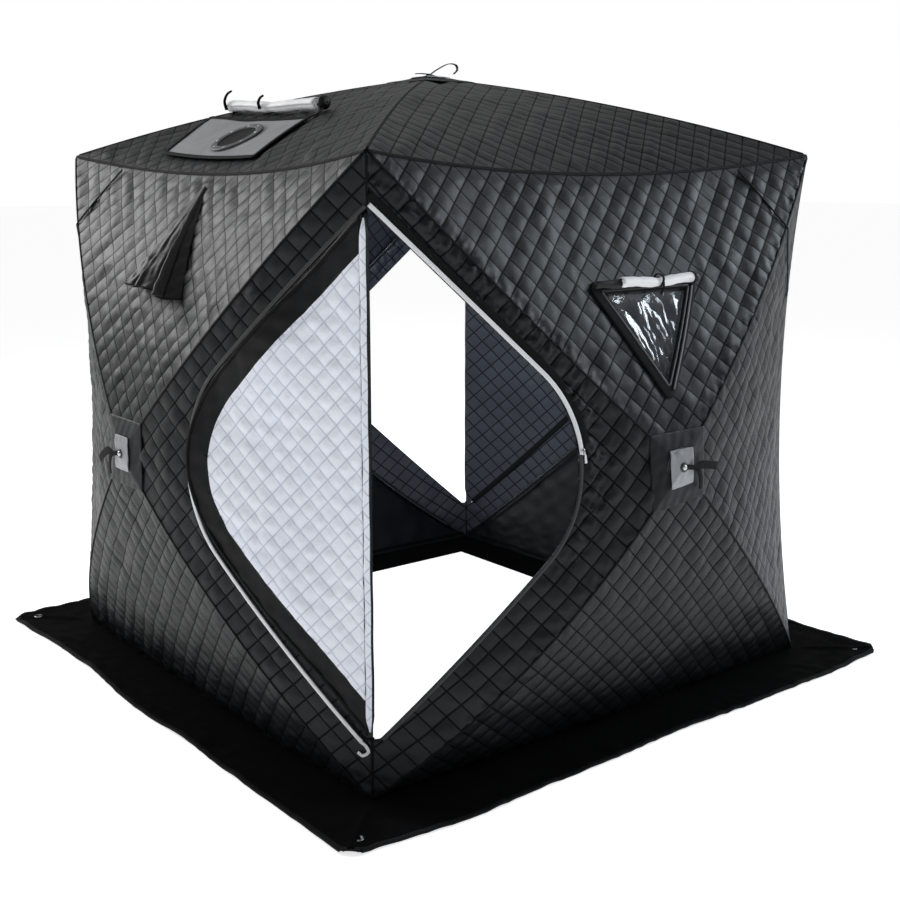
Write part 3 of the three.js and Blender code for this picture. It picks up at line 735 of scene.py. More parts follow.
def turns_inward(face):
    """Whether the cells of a face run the wrong way round, seen from outside."""
    spots = ((0.5, 0.2), (0.51, 0.2), (0.5, 0.21))
    here, right, up = (face.sheet(np.array(u), np.array(v)) for u, v in spots)
    return float(np.cross(right - here, up - here) @ face.out) < 0


def sheet_piece(name, face, holes, within, cross, seed, extra=None, smooth_foot=True, sewn_areas=()):
    """One quilted sheet of a face, less its holes, or only the part within an outline."""
    line = np.linspace(-1, 1, CELLS + 1)
    u, v = np.meshgrid(line, line, indexing="ij")
    kept = kept_cells(face, u, v, holes, within)
    cuts = list(holes) + ([within] if within is not None else [])
    if cuts:
        fit_to_cuts(face, u, v, kept, cuts)
    base, normal = face.sheet(u, v), face.normal(u, v)
    ridge_gap = on_cloth(abs(abs(u) - abs(v)))
    sleeve = fade(ridge_gap, SLEEVE_WIDTH)
    calm_edge = smooth_step(on_cloth(1 - np.maximum(abs(u), abs(v))), 0.0, 0.05)
    if within is None:
        flat = flatness(face, base, cuts + list(sewn_areas), FLAT_REACH)
    else:
        _, gap = nearest(dense(within, step=0.006), face.plane(base).reshape(-1, 2))
        flat = smooth_step(gap, 0.0, FLAT_REACH).reshape(u.shape)
    calm = 0.8 + 0.2 * ripple(u, v, seed, 0.5)
    puff = PUFF * quilt_height(u, v, cross) * calm * calm_edge * (1 - 0.5 * sleeve) * flat
    waves = 0.0016 * ripple(u, v, seed + 1, 0.11) + 0.0022 * ripple(u, v, seed + 2, 0.28)
    waves = waves * calm_edge * (1 - fade(ridge_gap, 0.03))
    if extra is not None:
        waves = waves + extra(u, v, base)
    waves = waves * flat + 0.002 * sleeve
    panel = sector(u, v)
    inner_puff = 0.6 * puff
    if smooth_foot:
        inner_puff = np.where(panel == FOOT_PANEL, 0.0, inner_puff)
    outer = base + normal * (FABRIC / 2 + puff + waves)[..., None]
    inner = base - normal * (FABRIC / 2 + inner_puff - waves)[..., None]
    inner_slots = np.where(smooth_foot & (panel[:-1, :-1] == FOOT_PANEL), 2, 1)
    return grid_solid(name, outer, inner, kept, on_cloth(np.stack([u, v], -1)),
                      [QUILT, LINING, PLAIN_BLACK], inner_slots=inner_slots, flip=turns_inward(face),
                      lining=name.replace("quilted", "lining"))


# Ribbons and tubes along a path

def resample(points, step):
    points = np.asarray(points, float)
    run = run_length(points)
    count = max(int(run[-1] / step), 2)
    at = np.linspace(0, run[-1], count + 1)
    return np.stack([np.interp(at, run, points[:, k]) for k in range(points.shape[1])], 1)


def curve_through(points, count=60):
    """A smooth Catmull-Rom curve through a few points."""
    p = np.asarray(points, float)
    p = np.concatenate([[2 * p[0] - p[1]], p, [2 * p[-1] - p[-2]]])
    result = []
    parts = len(p) - 3
    for k in range(parts):
        a, b, c, d = p[k:k + 4]
        for t in np.linspace(0, 1, max(count // parts, 2), endpoint=k == parts - 1):
            result.append(0.5 * (2 * b + (c - a) * t + (2 * a - 5 * b + 4 * c - d) * t * t
                                 + (3 * b - a - 3 * c + d) * t ** 3))
    return np.array(result)


def sweep(name, path, normals, outline, material, swell=None):
    """A closed tube along a path. outline is (across, out) pairs, and normals say which way out is."""
    path = np.asarray(path, float)
    outline = np.asarray(outline, float)
    tangent = unit(np.gradient(path, axis=0))
    normals = np.broadcast_to(np.asarray(normals, float), path.shape)
    normals = unit(normals - tangent * np.sum(normals * tangent, 1)[:, None])
    across = np.cross(tangent, normals)
    n, k = len(path), len(outline)
    size = (np.ones(n) if swell is None else swell)[:, None, None]
    points = (path[:, None] + across[:, None] * (outline[:, 0][None, :, None] * size)
              + normals[:, None] * (outline[:, 1][None, :, None] * size))
    uv = np.stack(np.broadcast_arrays(run_length(outline)[None, :], run_length(path)[:, None]), -1)
    i, j = np.meshgrid(np.arange(n - 1), np.arange(k), indexing="ij")
    i, j = i.ravel(), j.ravel()
    after = (j + 1) % k
    faces = np.stack([i * k + j, i * k + after, (i + 1) * k + after, (i + 1) * k + j], 1).tolist()
    faces.append(list(range(k))[::-1])
    faces.append([(n - 1) * k + q for q in range(k)])
    x, y = outline.T
    if np.sum(x * np.roll(y, -1) - np.roll(x, -1) * y) > 0:
        faces = [f[::-1] for f in faces]
    return make_object(name, points.reshape(-1, 3), faces, [material], None, uv.reshape(-1, 2))


def flat_outline(width, height, lift=0.0):
    """A flat ribbon's section with rounded edges."""
    w, h = width / 2, height / 2
    pairs = []
    for k in range(12):
        angle = math.tau * k / 12
        c, s = math.cos(angle), math.sin(angle)
        pairs.append((math.copysign(abs(c) ** 0.45, c) * w, lift + math.copysign(abs(s) ** 0.7, s) * h))
    return pairs


def round_outline(radius, count=14):
    return [(radius * math.cos(math.tau * k / count),
             radius * math.sin(math.tau * k / count)) for k in range(count)]


def joined(name, parts):
    """Several meshes as one object, with their materials kept."""
    points, faces, slots, uvs, materials = [], [], [], [], []
    base = 0
    for part in parts:
        mesh = part.data
        co = np.zeros(len(mesh.vertices) * 3)
        mesh.vertices.foreach_get("co", co)
        points.append(co.reshape(-1, 3))
        index = {}
        for k, material in enumerate(mesh.materials):
            if material not in materials:
                materials.append(material)
            index[k] = materials.index(material)
        vertex_uv = np.zeros((len(mesh.vertices), 2))
        if mesh.uv_layers:
            corner = np.zeros(len(mesh.loops), np.int32)
            mesh.loops.foreach_get("vertex_index", corner)
            flat = np.zeros(len(mesh.loops) * 2, np.float32)
            mesh.uv_layers[0].data.foreach_get("uv", flat)
            vertex_uv[corner] = flat.reshape(-1, 2)
        uvs.append(vertex_uv)
        for polygon in mesh.polygons:
            faces.append([base + v for v in polygon.vertices])
            slots.append(index.get(polygon.material_index, 0))
        base += len(mesh.vertices)
        bpy.data.objects.remove(part)
    return make_object(name, np.concatenate(points), faces, materials, slots, np.concatenate(uvs))


def along_face(face, places, lift):
    """3-D points and normals of a line drawn on a face, lifted off the sheet."""
    places = resample(places, 0.004)
    u, v = face.locate(places[:, 0], places[:, 1])
    normal = face.normal(u, v)
    return face.sheet(u, v) + normal * lift, normal


def face_ribbon(name, face, places, lift, section, material=BINDING):
    """A ribbon of this width and height sewn along a line drawn on a face."""
    path, normal = along_face(face, places, lift)
    sewn(sweep(name, path, normal, flat_outline(*section), material), face)


# Door outlines, in metres from the fold line and up

def door_nose(radius, angles, sign=1):
    height = DOOR_MIDDLE + sign * radius * np.sin(angles)
    return np.stack([NOSE_CENTRE + radius * np.cos(angles), height], 1)


def door_outline(inset=0.0, behind=0.09):
    """The whole door, going behind metres past the fold line."""
    nose = door_nose(NOSE_RADIUS - inset, np.linspace(-math.pi / 4, math.pi / 4, 28))
    tip = DOOR_HALF - inset * math.sqrt(2)
    ends = [(0, DOOR_MIDDLE + tip)]
    if behind:
        ends += [(-behind, DOOR_MIDDLE + tip), (-behind, DOOR_MIDDLE - tip)]
    ends.append((0, DOOR_MIDDLE - tip))
    return np.concatenate([nose, ends])


def door_edge(low_deg, high_deg, inset=0.0, top=True, straight=True):
    """The part of the door's edge from the nose to a tip, as distances from the fold line and heights."""
    sign = 1 if top else -1
    nose = door_nose(NOSE_RADIUS - inset, np.radians(np.linspace(low_deg, high_deg, 30)), sign)
    if not straight:
        return nose
    tip = DOOR_HALF - inset * math.sqrt(2)
    return np.concatenate([nose, [(0.004, DOOR_MIDDLE + sign * tip - sign * 0.004)]])


def on_front(edge):
    return np.stack([edge[:, 0] - TOP_HALF, edge[:, 1]], 1)


def on_left(edge):
    return np.stack([TOP_HALF - edge[:, 0], edge[:, 1]], 1)


WINDOW = np.array([(-0.165, 1.352), (0.0, 1.085), (0.165, 1.352)])


# Sheets

DOOR_SAMPLES = dense(on_front(door_outline(0, 0)), closed=False)


def front_puckers(u, v, base):
    """Crumpled cloth between the zip and the ridge above it, and light puckers along the top seam."""
    places = FRONT.plane(base).reshape(-1, 2)
    _, gap = nearest(DOOR_SAMPLES[::3], places)
    gap = gap.reshape(u.shape)
    band = fade(gap, 0.085) * smooth_step(v, -0.45, 0.1)
    along = (u + v) * 0.9
    across = (u - v) * 0.9
    crumple = ripple(along * 0.5, across, 21, 0.036) + 0.7 * ripple(along, across * 0.5, 22, 0.06)
    tug = fade(abs(abs(u) - abs(v)) * 0.9, 0.05) * (abs(v) > 0.1)
    return band * crumple * 0.0062 + tug * ripple(along, across, 23, 0.045) * 0.0015


def left_puckers(u, v, _):
    foot = smooth_step(-v, 0.75, 1.0)
    return foot * ripple(u * 0.35, v, 31, 0.035) * 0.0022


def sewn_layers(layers, face, node):
    """The shell cloth and the lining of a sheet, each baked in place with its half-turn copy off the roof.
    """
    shell = sewn(layers[0], face, [node])
    return shell + sewn(layers[1], face)


WINDOW_FRAME = np.array([(-0.235, 1.412), (0.0, 1.030), (0.235, 1.412)])
front_sheet = sheet_piece("quilted_wall_front", FRONT, [on_front(door_outline()), WINDOW], None,
                          cross=0.72, seed=3, extra=front_puckers, sewn_areas=[WINDOW_FRAME])
fronts = sewn_layers(front_sheet, FRONT, "wall_front")
left_sheet = sheet_piece("quilted_wall_left", LEFT, [on_left(door_outline())], None,
                         cross=0.9, seed=5, extra=left_puckers)
lefts = sewn_layers(left_sheet, LEFT, "wall_left")
fixed_sheet = sheet_piece("quilted_door_near_fixed", LEFT, [], on_left(door_outline(0.001)),
                          cross=0.9, seed=7)
fixed = sewn_layers(fixed_sheet, LEFT, "door_near_fixed_half")

STOVE_SPOT = (-0.665, 0.153)
STOVE_HOLE = np.array([(STOVE_SPOT[0] + 0.053 * math.cos(a), STOVE_SPOT[1] + 0.060 * math.sin(a))
                       for a in np.linspace(0, math.tau, 40, endpoint=False)])
STOVE_PANEL = np.array([(-0.556, 0.523), (-0.778, 0.442), (-0.771, -0.134), (-0.528, -0.066)])
roof_sheet = sheet_piece("quilted_roof", ROOF, [STOVE_HOLE], None,
                         cross=0.55, seed=9, smooth_foot=False, sewn_areas=[STOVE_PANEL])
roofs = sewn_layers(roof_sheet, ROOF, "roof_panel")


# Seams and bindings

def piping(name, points, radius, out=(0, 0, 1)):
    return sweep(name, resample(points, 0.012), out, round_outline(radius, 10), BINDING)


def edge_line(face, start, end, count=60):
    """A straight line in u and v, on the sheet."""
    t = np.linspace(0, 1, count)
    u = start[0] + (end[0] - start[0]) * t
    v = start[1] + (end[1] - start[1]) * t
    return face.sheet(u, v)


def corner_seams():
    """Piping down the four upright corners and round the four eaves."""
    right_corner = edge_line(FRONT, (1, 1), (1, -1))
    near_upper = edge_line(LEFT, (1, 1), (1, 0.86))
    near_lower = edge_line(LEFT, (1, -0.80), (1, -1))
    for name, line in (("corner_seam_right", right_corner), ("corner_seam_near_upper", near_upper),
                       ("corner_seam_near_lower", near_lower)):
        riding(piping(name, line, 0.0055, out=(1, -1, 0)), "shell")
    for face in (FRONT, LEFT):
        riding(piping(f"eave_seam_{face.name}", edge_line(face, (-1, 1), (1, 1)), 0.0068), "shell")


def ridge_seams():
    """Narrow tapes on the outside of every rod ridge."""
    t = np.linspace(0.10, 0.992, 120)
    for face in (FRONT, LEFT, ROOF):
        for index, (su, sv) in enumerate(((-1, 1), (1, 1), (1, -1), (-1, -1))):
            normal = face.normal(su * t, sv * t)
            path = resample(face.sheet(su * t, sv * t) + normal * (FABRIC / 2 + 0.0015), 0.012)
            sewn(sweep(f"ridge_seam_{face.name}_{index + 1}", path, np.mean(normal, 0),
                       flat_outline(0.008, 0.005), BINDING), face)


def foot_bindings():
    """The tape that joins each wall's foot to the snow skirt."""
    for face in (FRONT, LEFT):
        path = edge_line(face, (-1, -1), (1, -1)) + UP * 0.012 + face.out * 0.004
        sewn(sweep(f"foot_binding_{face.name}", resample(path, 0.01), face.out, flat_outline(0.03, 0.004),
                   BINDING), face)


corner_seams()
ridge_seams()
foot_bindings()


# Door: zips, piping and the open leaf

def door_zips():
    """The near door's zips, each with its lift, its section and the part of the edge that it runs along."""
    for name, face, material, lift, section, edge, top in (
        ("zip_near_upper", FRONT, ZIP_WHITE, 0.011, (0.0125, 0.007), (5, 45, -0.006), True),
        ("zip_near_lower", FRONT, ZIP_BLACK, 0.006, (0.011, 0.006), (-5, 45, -0.004), False),
        ("zip_flap_near", FRONT, BINDING, 0.008, (0.022, 0.004), (4, 45, -0.024), True),
        ("zip_left_lower", LEFT, ZIP_WHITE, 0.012, (0.012, 0.006), (6, 45, -0.008), False),
        ("zip_left_upper", LEFT, ZIP_BLACK, 0.010, (0.012, 0.006), (-5, 45, -0.004), True),
    ):
        place = on_front if face is FRONT else on_left
        face_ribbon(name, face, place(door_edge(*edge, top=top)), lift, section, material)


door_zips()


def inner_tapes():
    """Binding inside the shelter over the joint between the wall and the fixed half of the door."""
    edge = door_edge(-45, 45, -0.001, straight=False)
    tip = DOOR_HALF - 0.012
    edge = np.concatenate([[(0.012, DOOR_MIDDLE - tip)], edge, [(0.012, DOOR_MIDDLE + tip)]])
    face_ribbon("inner_tape_left", LEFT, on_left(edge), -0.0065, (0.024, 0.004))


def gusset_seams():
    """The short seams that cut off the upper corners of each wall."""
    for face, side in ((FRONT, 1), (LEFT, -1)):
        places = np.array([(0.570 * side, 1.700), (0.800 * side, 1.290)])
        face_ribbon(f"gusset_seam_{face.name}", face, places, 0.0105, (0.006, 0.004))


inner_tapes()
gusset_seams()

LEAF_ALONG = np.array([math.cos(math.radians(LEAF_OPEN_DEG)), math.sin(math.radians(LEAF_OPEN_DEG)), 0])
LEAF_OUT = np.array([LEAF_ALONG[1], -LEAF_ALONG[0], 0])
LEAF_ROOT = np.array([-LEAF_AXIS, -LEAF_AXIS, 0])
LEAF_BORDER = 0.072
LEAF_INSET = 0.004
LEAF_HALF = 0.004


def leaf_point(d, z, lift):
    """A point of the near leaf, at d metres from the corner, z metres up and lift metres off it."""
    d, z, lift = (np.asarray(value)[..., None] for value in (d, z, lift))
    return LEAF_ROOT + LEAF_ALONG * d + UP * z - LEAF_OUT * lift


def leaf_belly(d, z):
    """The open leaf hangs with a soft fold near its nose and light waves."""
    return (0.010 * ripple(d, z, 41, 0.55) * smooth_step(d, 0.03, 0.25)
            + 0.012 * smooth_step(d, 0.30, 0.56) * np.sin(z * 5.2 + 0.8))


def leaf_cut(outline, white):
    """The leaf's grid of places, its kept cells and its white ones, fitted to both outlines."""
    columns, rows = 72, 172
    d, z = np.meshgrid(np.linspace(LEAF_FOLD_GAP, LEAF_FOLD_GAP + columns * CELL_SIZE, columns + 1),
                       np.linspace(DOOR_BOTTOM, DOOR_BOTTOM + rows * CELL_SIZE, rows + 1), indexing="ij")
    places = np.stack([d, z], -1)
    middles = cell_middles(places)
    kept = inside(outline, middles)
    white_zone = inside(white, middles) & kept
    for zone, line, reach in ((kept, outline, SNAP_REACH), (white_zone, white, 0.012)):
        some, gone = touching(zone)
        snap(places, some & gone & (places[..., 0] > LEAF_FOLD_GAP + 0.001), line, reach)
    return places, kept, white_zone


def door_leaf():
    """The near leaf, white and quilted inside a plain border, with its half-turn copy."""
    stretch = np.array([LEAF_STRETCH, 1])
    white = door_outline(LEAF_BORDER) * stretch
    places, kept, white_zone = leaf_cut(door_outline(LEAF_INSET, 0) * stretch, white)
    d, z = places[..., 0], places[..., 1]
    p = ((d - z) / LEAF_QUILT_PERIOD) % 1
    q = ((d + z) / LEAF_QUILT_PERIOD) % 1
    pillow = np.sqrt(np.maximum(1 - abs(2 * p - 1), 0)) * np.sqrt(np.maximum(1 - abs(2 * q - 1), 0))
    _, edge = nearest(dense(white)[::2], places.reshape(-1, 2))
    deep = np.where(inside(white, places), edge.reshape(d.shape), 0)
    belly = leaf_belly(d, z)
    lining = LEAF_HALF + smooth_step(deep, 0, 0.02) * 0.003 + pillow * PUFF * smooth_step(deep, 0.0, 0.03)
    outer = leaf_point(d, z, belly + lining + 0.0015 * ripple(d, z, 43, 0.07))
    inner = leaf_point(d, z, belly - LEAF_HALF - 0.4 * pillow * 0.005)
    made = grid_solid("door_leaf_near", outer, inner, kept, places, [PLAIN_BLACK, WHITE_QUILT, QUILT],
                      outer_slots=np.where(white_zone, 1, 0), inner_slots=2, flip=True)
    return riding(made, "door_near_leaf", ["door_near_leaf"])


def leaf_trims():
    """Tape round the leaf's edge and a hem along the fold."""
    edge = door_outline(0.008, 0)[:-1] * np.array([LEAF_STRETCH, 1])
    edge = np.concatenate([[(LEAF_FOLD_GAP, DOOR_BOTTOM + 0.03)], edge[:-1],
                           [(LEAF_FOLD_GAP, DOOR_TOP - 0.03)]])
    edge = resample(edge, 0.006)
    path = leaf_point(edge[:, 0], edge[:, 1], leaf_belly(edge[:, 0], edge[:, 1]))
    made = sweep("leaf_edge_near", path, -LEAF_OUT, flat_outline(0.012, 0.014), BINDING)
    riding(made, "door_near_leaf")
    z = np.linspace(DOOR_BOTTOM + 0.03, DOOR_TOP - 0.04, 120)
    d = np.full_like(z, LEAF_FOLD_GAP + 0.002)
    hem = sweep("leaf_hem_near", leaf_point(d, z, leaf_belly(d, z) - 0.006), -LEAF_OUT,
                flat_outline(0.006, 0.006), BINDING)
    riding(hem, "door_near_leaf")


FOLD_RADIUS = 0.012


def leaf_fold():
    """The rounded fold where the leaf turns at the corner: lining inside, black cloth outside."""
    z = np.linspace(DOOR_BOTTOM + 0.028, DOOR_TOP - 0.028, 90)
    path = leaf_point(np.full_like(z, 0.003), z, 0.001 * np.sin(z * 31))
    swell = np.minimum(1, 0.25 + np.minimum(z - z[0], z[-1] - z) / 0.05)
    made = sweep("leaf_fold_near", path, -LEAF_OUT, round_outline(FOLD_RADIUS, 20), WHITE_QUILT, swell)
    made.data.materials.append(PLAIN_BLACK)
    toward = Vector(LEAF_OUT)
    for polygon in made.data.polygons:
        polygon.material_index = 1 if polygon.normal.dot(toward) > -0.5 else 0
    riding(made, "door_near_leaf")


leaves = door_leaf()
leaf_trims()
leaf_fold()


def slider_spot(degrees):
    """A place on the zip and the way out of the cloth there."""
    place = door_nose(NOSE_RADIUS + 0.009, np.radians([degrees]))[0]
    u, v = FRONT.locate(place[:1] - TOP_HALF, place[1:])
    normal = FRONT.normal(u, v)[0]
    return FRONT.sheet(u, v)[0] + normal * (FABRIC / 2 + 0.009), normal


def zip_slider():
    """Cast slider with a bridge, and a cord pull ending in a moulded tab."""
    at, out = slider_spot(6)
    ahead, _ = slider_spot(12)
    along = unit(ahead - at)
    body_path = [at + along * s for s in np.linspace(-0.009, 0.009, 9)]
    swell = np.array([0.72, 0.86, 0.95, 1.0, 1.0, 1.0, 0.97, 0.9, 0.78])
    body = sweep("slider_body", body_path, out, flat_outline(0.013, 0.008), STEEL, swell)
    bridge = curve_through([at - along * 0.006 + out * 0.003, at - along * 0.003 + out * 0.008,
                            at + along * 0.003 + out * 0.008, at + along * 0.006 + out * 0.003], 24)
    ring = sweep("slider_bridge", bridge, np.cross(along, out), round_outline(0.0012, 8), STEEL)
    start = at + out * 0.007
    pull = curve_through([start, start - along * 0.010 + out * 0.003, start - along * 0.022 + out * 0.001,
                          start - along * 0.032 - out * 0.001], 30)
    tab = sweep("slider_tab", pull, out, flat_outline(0.007, 0.0022), ZIP_WHITE,
                np.linspace(0.6, 1.15, len(pull)))
    made = joined("zip_pull_near", [body, ring, tab])
    riding(made, "zip_slider_near", ["zip_slider_near"])


def zip_curl():
    """The loose end of the white zip, curling at the bottom tip of the left half."""
    edge = on_left(door_edge(44, 45, -0.008, top=False))
    u, v = LEFT.locate(edge[-1:, 0], edge[-1:, 1])
    base = LEFT.sheet(u, v)[0] + LEFT.normal(u, v)[0] * 0.014
    side = np.array([0.7, -0.7, 0])
    loop = curve_through([base, base + side * 0.012 - UP * 0.010, base + side * 0.020 - UP * 0.028,
                          base + side * 0.004 - UP * 0.040, base - side * 0.010 - UP * 0.030], 40)
    made = sweep("zip_tail_near", loop, LEFT.out + FRONT.out, flat_outline(0.009, 0.004), ZIP_WHITE)
    riding(made, "shell")


zip_slider()
zip_curl()


# Window: pane, frame, zip and rolled cover

SEAM_MARGIN = 1.05


def window_pane():
    """The clear pane: a creased triangle a little larger than its opening."""
    n = 60
    a, b = np.meshgrid(np.linspace(0, 1, n + 1), np.linspace(0, 1, n + 1), indexing="ij")
    left, low, right = WINDOW
    places = low + (left + (right - left) * a[..., None] - low) * b[..., None]
    centre = WINDOW.mean(0)
    places = centre + (places - centre) * SEAM_MARGIN
    x, y = places.reshape(-1, 2).T
    u, v = FRONT.locate(x, y)
    base, normal = FRONT.sheet(u, v), FRONT.normal(u, v)
    creases = abs(ripple(x, y, 51, 0.11)) * 0.0035 + abs(ripple(x * 1.4, y * 0.7, 52, 0.05)) * 0.0010
    rim = np.minimum(np.minimum(a, 1 - a) * 2, np.minimum(b, 1 - b) * 2).ravel()
    creases = creases * smooth_step(rim, 0, 0.25)
    outer, inner = ((base + normal * (creases + side)[:, None]).reshape(n + 1, n + 1, 3)
                    for side in (0.0006, -0.0006))
    made = grid_solid("window_film_front", outer, inner, np.ones((n, n), bool), places, [FILM])
    for film in sewn(made, FRONT, ["window_front_pane"]):
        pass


def rounded_triangle(corners, cut):
    """A closed outline with its corners rounded off, cut metres back from each."""
    rounded = []
    for k in range(3):
        a, b, c = corners[k - 1], corners[k], corners[(k + 1) % 3]
        p = b + unit(a - b) * cut
        q = b + unit(c - b) * cut
        for t in np.linspace(0, 1, 6):
            rounded.append((1 - t) ** 2 * p + 2 * t * (1 - t) * b + t * t * q)
    return np.array(rounded + [rounded[0]])


def window_frame():
    """Broad tape round the pane, a welt inside it and the cover's zip down the right side."""
    rounded = rounded_triangle(np.array([(-0.222, 1.388), (0.0, 1.040), (0.222, 1.388)]), 0.012)
    centre = WINDOW.mean(0)
    parts = []
    for name, places, lift, section, material in (
        ("frame_tape", centre + (rounded - centre) * 0.88, 0.0085, (0.040, 0.007), BINDING),
        ("frame_welt", centre + (rounded - centre) * 0.80, 0.0115, (0.007, 0.005), ZIP_BLACK),
        ("frame_zip", np.array([(0.012, 1.075), (0.196, 1.372)]), 0.0140, (0.009, 0.004), ZIP_BLACK),
    ):
        path, normal = along_face(FRONT, places, lift)
        parts.append(sweep(name, path, normal, flat_outline(*section), material))
    sewn(joined("window_frame_front", parts), FRONT)


ROLL_CORE = 0.30


def spiral_roll(name, start, end, radius, turns, thick):
    """A sheet rolled up on itself: a thin closed spiral swept from start to end."""
    start, end = np.asarray(start, float), np.asarray(end, float)
    axis = unit(end - start)
    up = np.cross(unit(np.cross(axis, UP)), axis)
    angles = np.linspace(0, turns * math.tau, int(turns * 26))
    r = np.linspace(radius, radius * ROLL_CORE, len(angles))
    outer, inner = (np.stack([size * np.cos(angles), size * np.sin(angles)], 1) for size in (r, r - thick))
    steps = np.linspace(0, 1, 40)
    length = np.linalg.norm(end - start)
    path = start + (end - start) * steps[:, None]
    path = path + up * (0.0025 * np.sin(steps * 9.0) - 0.004 * arch(steps))[:, None]
    swell = 1 + 0.05 * np.sin(steps * 21.0) + 0.03 * np.sin(steps * 47.0)
    swell *= 1 - 0.10 * fade((steps - 0.5) * length, 0.02)
    return sweep(name, path, up, np.concatenate([outer, inner[::-1]]), WHITE_CLOTH, swell)


WINDOW_ROLL = (0.0175, 2.2)
STOVE_ROLL = (0.0215, 2.4)
COVER_HEIGHT = 1.388
TIE_RADIUS = 0.0195
STOVE_COVER_DEPTH = 0.031


def window_cover():
    """The white cover rolled up above the pane, its dark loose end, two ties and a toggle."""
    u, v = FRONT.locate(np.array([-0.19, 0.0, 0.19]), np.full(3, 1.392))
    y = float(FRONT.sheet(u, v)[:, 1].min()) - FABRIC / 2 - 0.017 - 0.003
    z = COVER_HEIGHT
    a, b = (-0.115, y, z), (0.190, y, z)
    roll = spiral_roll("window_cover_front", a, b, *WINDOW_ROLL, 0.0022)
    rolls = sewn(roll, FRONT, ["window_front_cover_roll"])
    tail = curve_through([(-0.108, y, z), (-0.14, y + 0.002, z - 0.004), (-0.175, y + 0.006, z - 0.002),
                          (-0.205, y + 0.011, z - 0.006)], 30)
    parts = [sweep("cover_end", tail, FRONT.out, flat_outline(0.030, 0.014), FLAP_BLACK,
                   np.linspace(1.0, 0.45, len(tail)))]
    for x, swell in ((0.045, 1.0), (0.186, 1.05)):
        t = np.linspace(0, math.tau, 40)
        ring = np.stack([x + 0.002 * np.sin(3 * t), y + TIE_RADIUS * swell * np.cos(t),
                         z + TIE_RADIUS * swell * np.sin(t)], 1)
        parts.append(sweep("cover_tie", ring, np.array([1.0, 0, 0]), flat_outline(0.0025, 0.009), STRAP))
    toggle = curve_through([(0.198, y - 0.004, z + 0.006), (0.206, y - 0.006, z + 0.002),
                            (0.211, y - 0.005, z - 0.006)], 14)
    parts.append(sweep("cover_toggle", toggle, FRONT.out, round_outline(0.009, 12), PLASTIC,
                       np.array([0.5] + [1.0] * (len(toggle) - 2) + [0.6])))
    loose = curve_through([(0.045, y - 0.020, z - 0.004), (0.047, y - 0.019, z - 0.022),
                           (0.043, y - 0.012, z - 0.040)], 16)
    parts.append(sweep("cover_tie_tail", loose, FRONT.out, flat_outline(0.010, 0.0016), STRAP))
    sewn(joined("window_ties_front", parts), FRONT)
    return rolls


window_pane()
window_frame()
covers = window_cover()


# Vent of the left wall: a cloth hood open at the bottom, folded over at its right

HOOD_TOP = 1.655
HOOD_LENGTH = 0.290
HOOD_LEAN = 0.030
HOOD_NECK = 0.014
HOOD_SPREAD = 0.150
HOOD_BULGE = 0.075
HOOD_THICK = 0.0035
HOOD_LIFT = 0.007


def vent_hood():
    rows, columns = 60, 72
    k, c = np.meshgrid(np.linspace(0, 1, rows + 1), np.linspace(-1, 1, columns + 1), indexing="ij")
    drop = HOOD_TOP - HOOD_LENGTH * k - HOOD_LEAN * k * smooth_step(c, 0.2, 0.9)
    across = c * (HOOD_NECK + HOOD_SPREAD * k) + 0.012 * k
    u, v = LEFT.locate(across.ravel(), drop.ravel())
    base = LEFT.sheet(u, v).reshape(rows + 1, columns + 1, 3)
    off = HOOD_LIFT + HOOD_BULGE * k * np.maximum(1 - c * c, 0) ** 0.75
    off += k * k * (0.012 * np.sin(c * 9.5 + 0.6) + 0.006 * np.sin(c * 19.0 + k * 2)) * (1 - c ** 4)
    off += 0.003 * ripple(c * 0.2, k * 0.3, 61, 0.05) * k
    off = np.maximum(off, HOOD_LIFT)
    outer = base + LEFT.out * (off + HOOD_THICK)[..., None]
    inner = base + LEFT.out * off[..., None]
    made = grid_solid("vent_flap_left", outer, inner, np.ones((rows, columns), bool),
                      np.stack([across, drop], -1), [FLAP_BLACK, PLAIN_BLACK], inner_slots=1, rim_slot=1)
    hood = sewn(made, LEFT, ["vent_hood_left"])
    hem = outer[-1] * 0.5 + inner[-1] * 0.5
    tape = sweep("vent_hem_left", resample(hem, 0.004), LEFT.out, flat_outline(0.006, 0.014), BINDING)
    sewn(tape, LEFT)
    down = np.round(np.linspace(0, 1, 40) * rows).astype(int)
    fold = resample(outer[down, int(columns * 0.86)] + LEFT.out * 0.002, 0.006)
    wing = sweep("vent_fold_left", fold, LEFT.out + LEFT.right, flat_outline(0.030, 0.010), FLAP_BLACK,
                 np.linspace(0.3, 1.35, len(fold)))
    sewn(wing, LEFT)
    return hood


hoods = vent_hood()


# Stove jack: silver panel, ring, dark pipe mesh, rolled cover, ties

PANEL_BOW = 0.012
PANEL_LIFT = 0.0125
RING_RADIUS = 0.080
MESH_RADIUS = 0.071


def roof_frame(spot):
    """A place on the roof, with the ways across, along and out of it."""
    u, v = ROOF.locate(np.array([spot[0]]), np.array([spot[1]]))
    normal = ROOF.normal(u, v)[0]
    along = unit(np.array([0, 1.0, 0]) - normal * normal[1])
    return ROOF.sheet(u, v)[0], np.cross(along, normal), along, normal


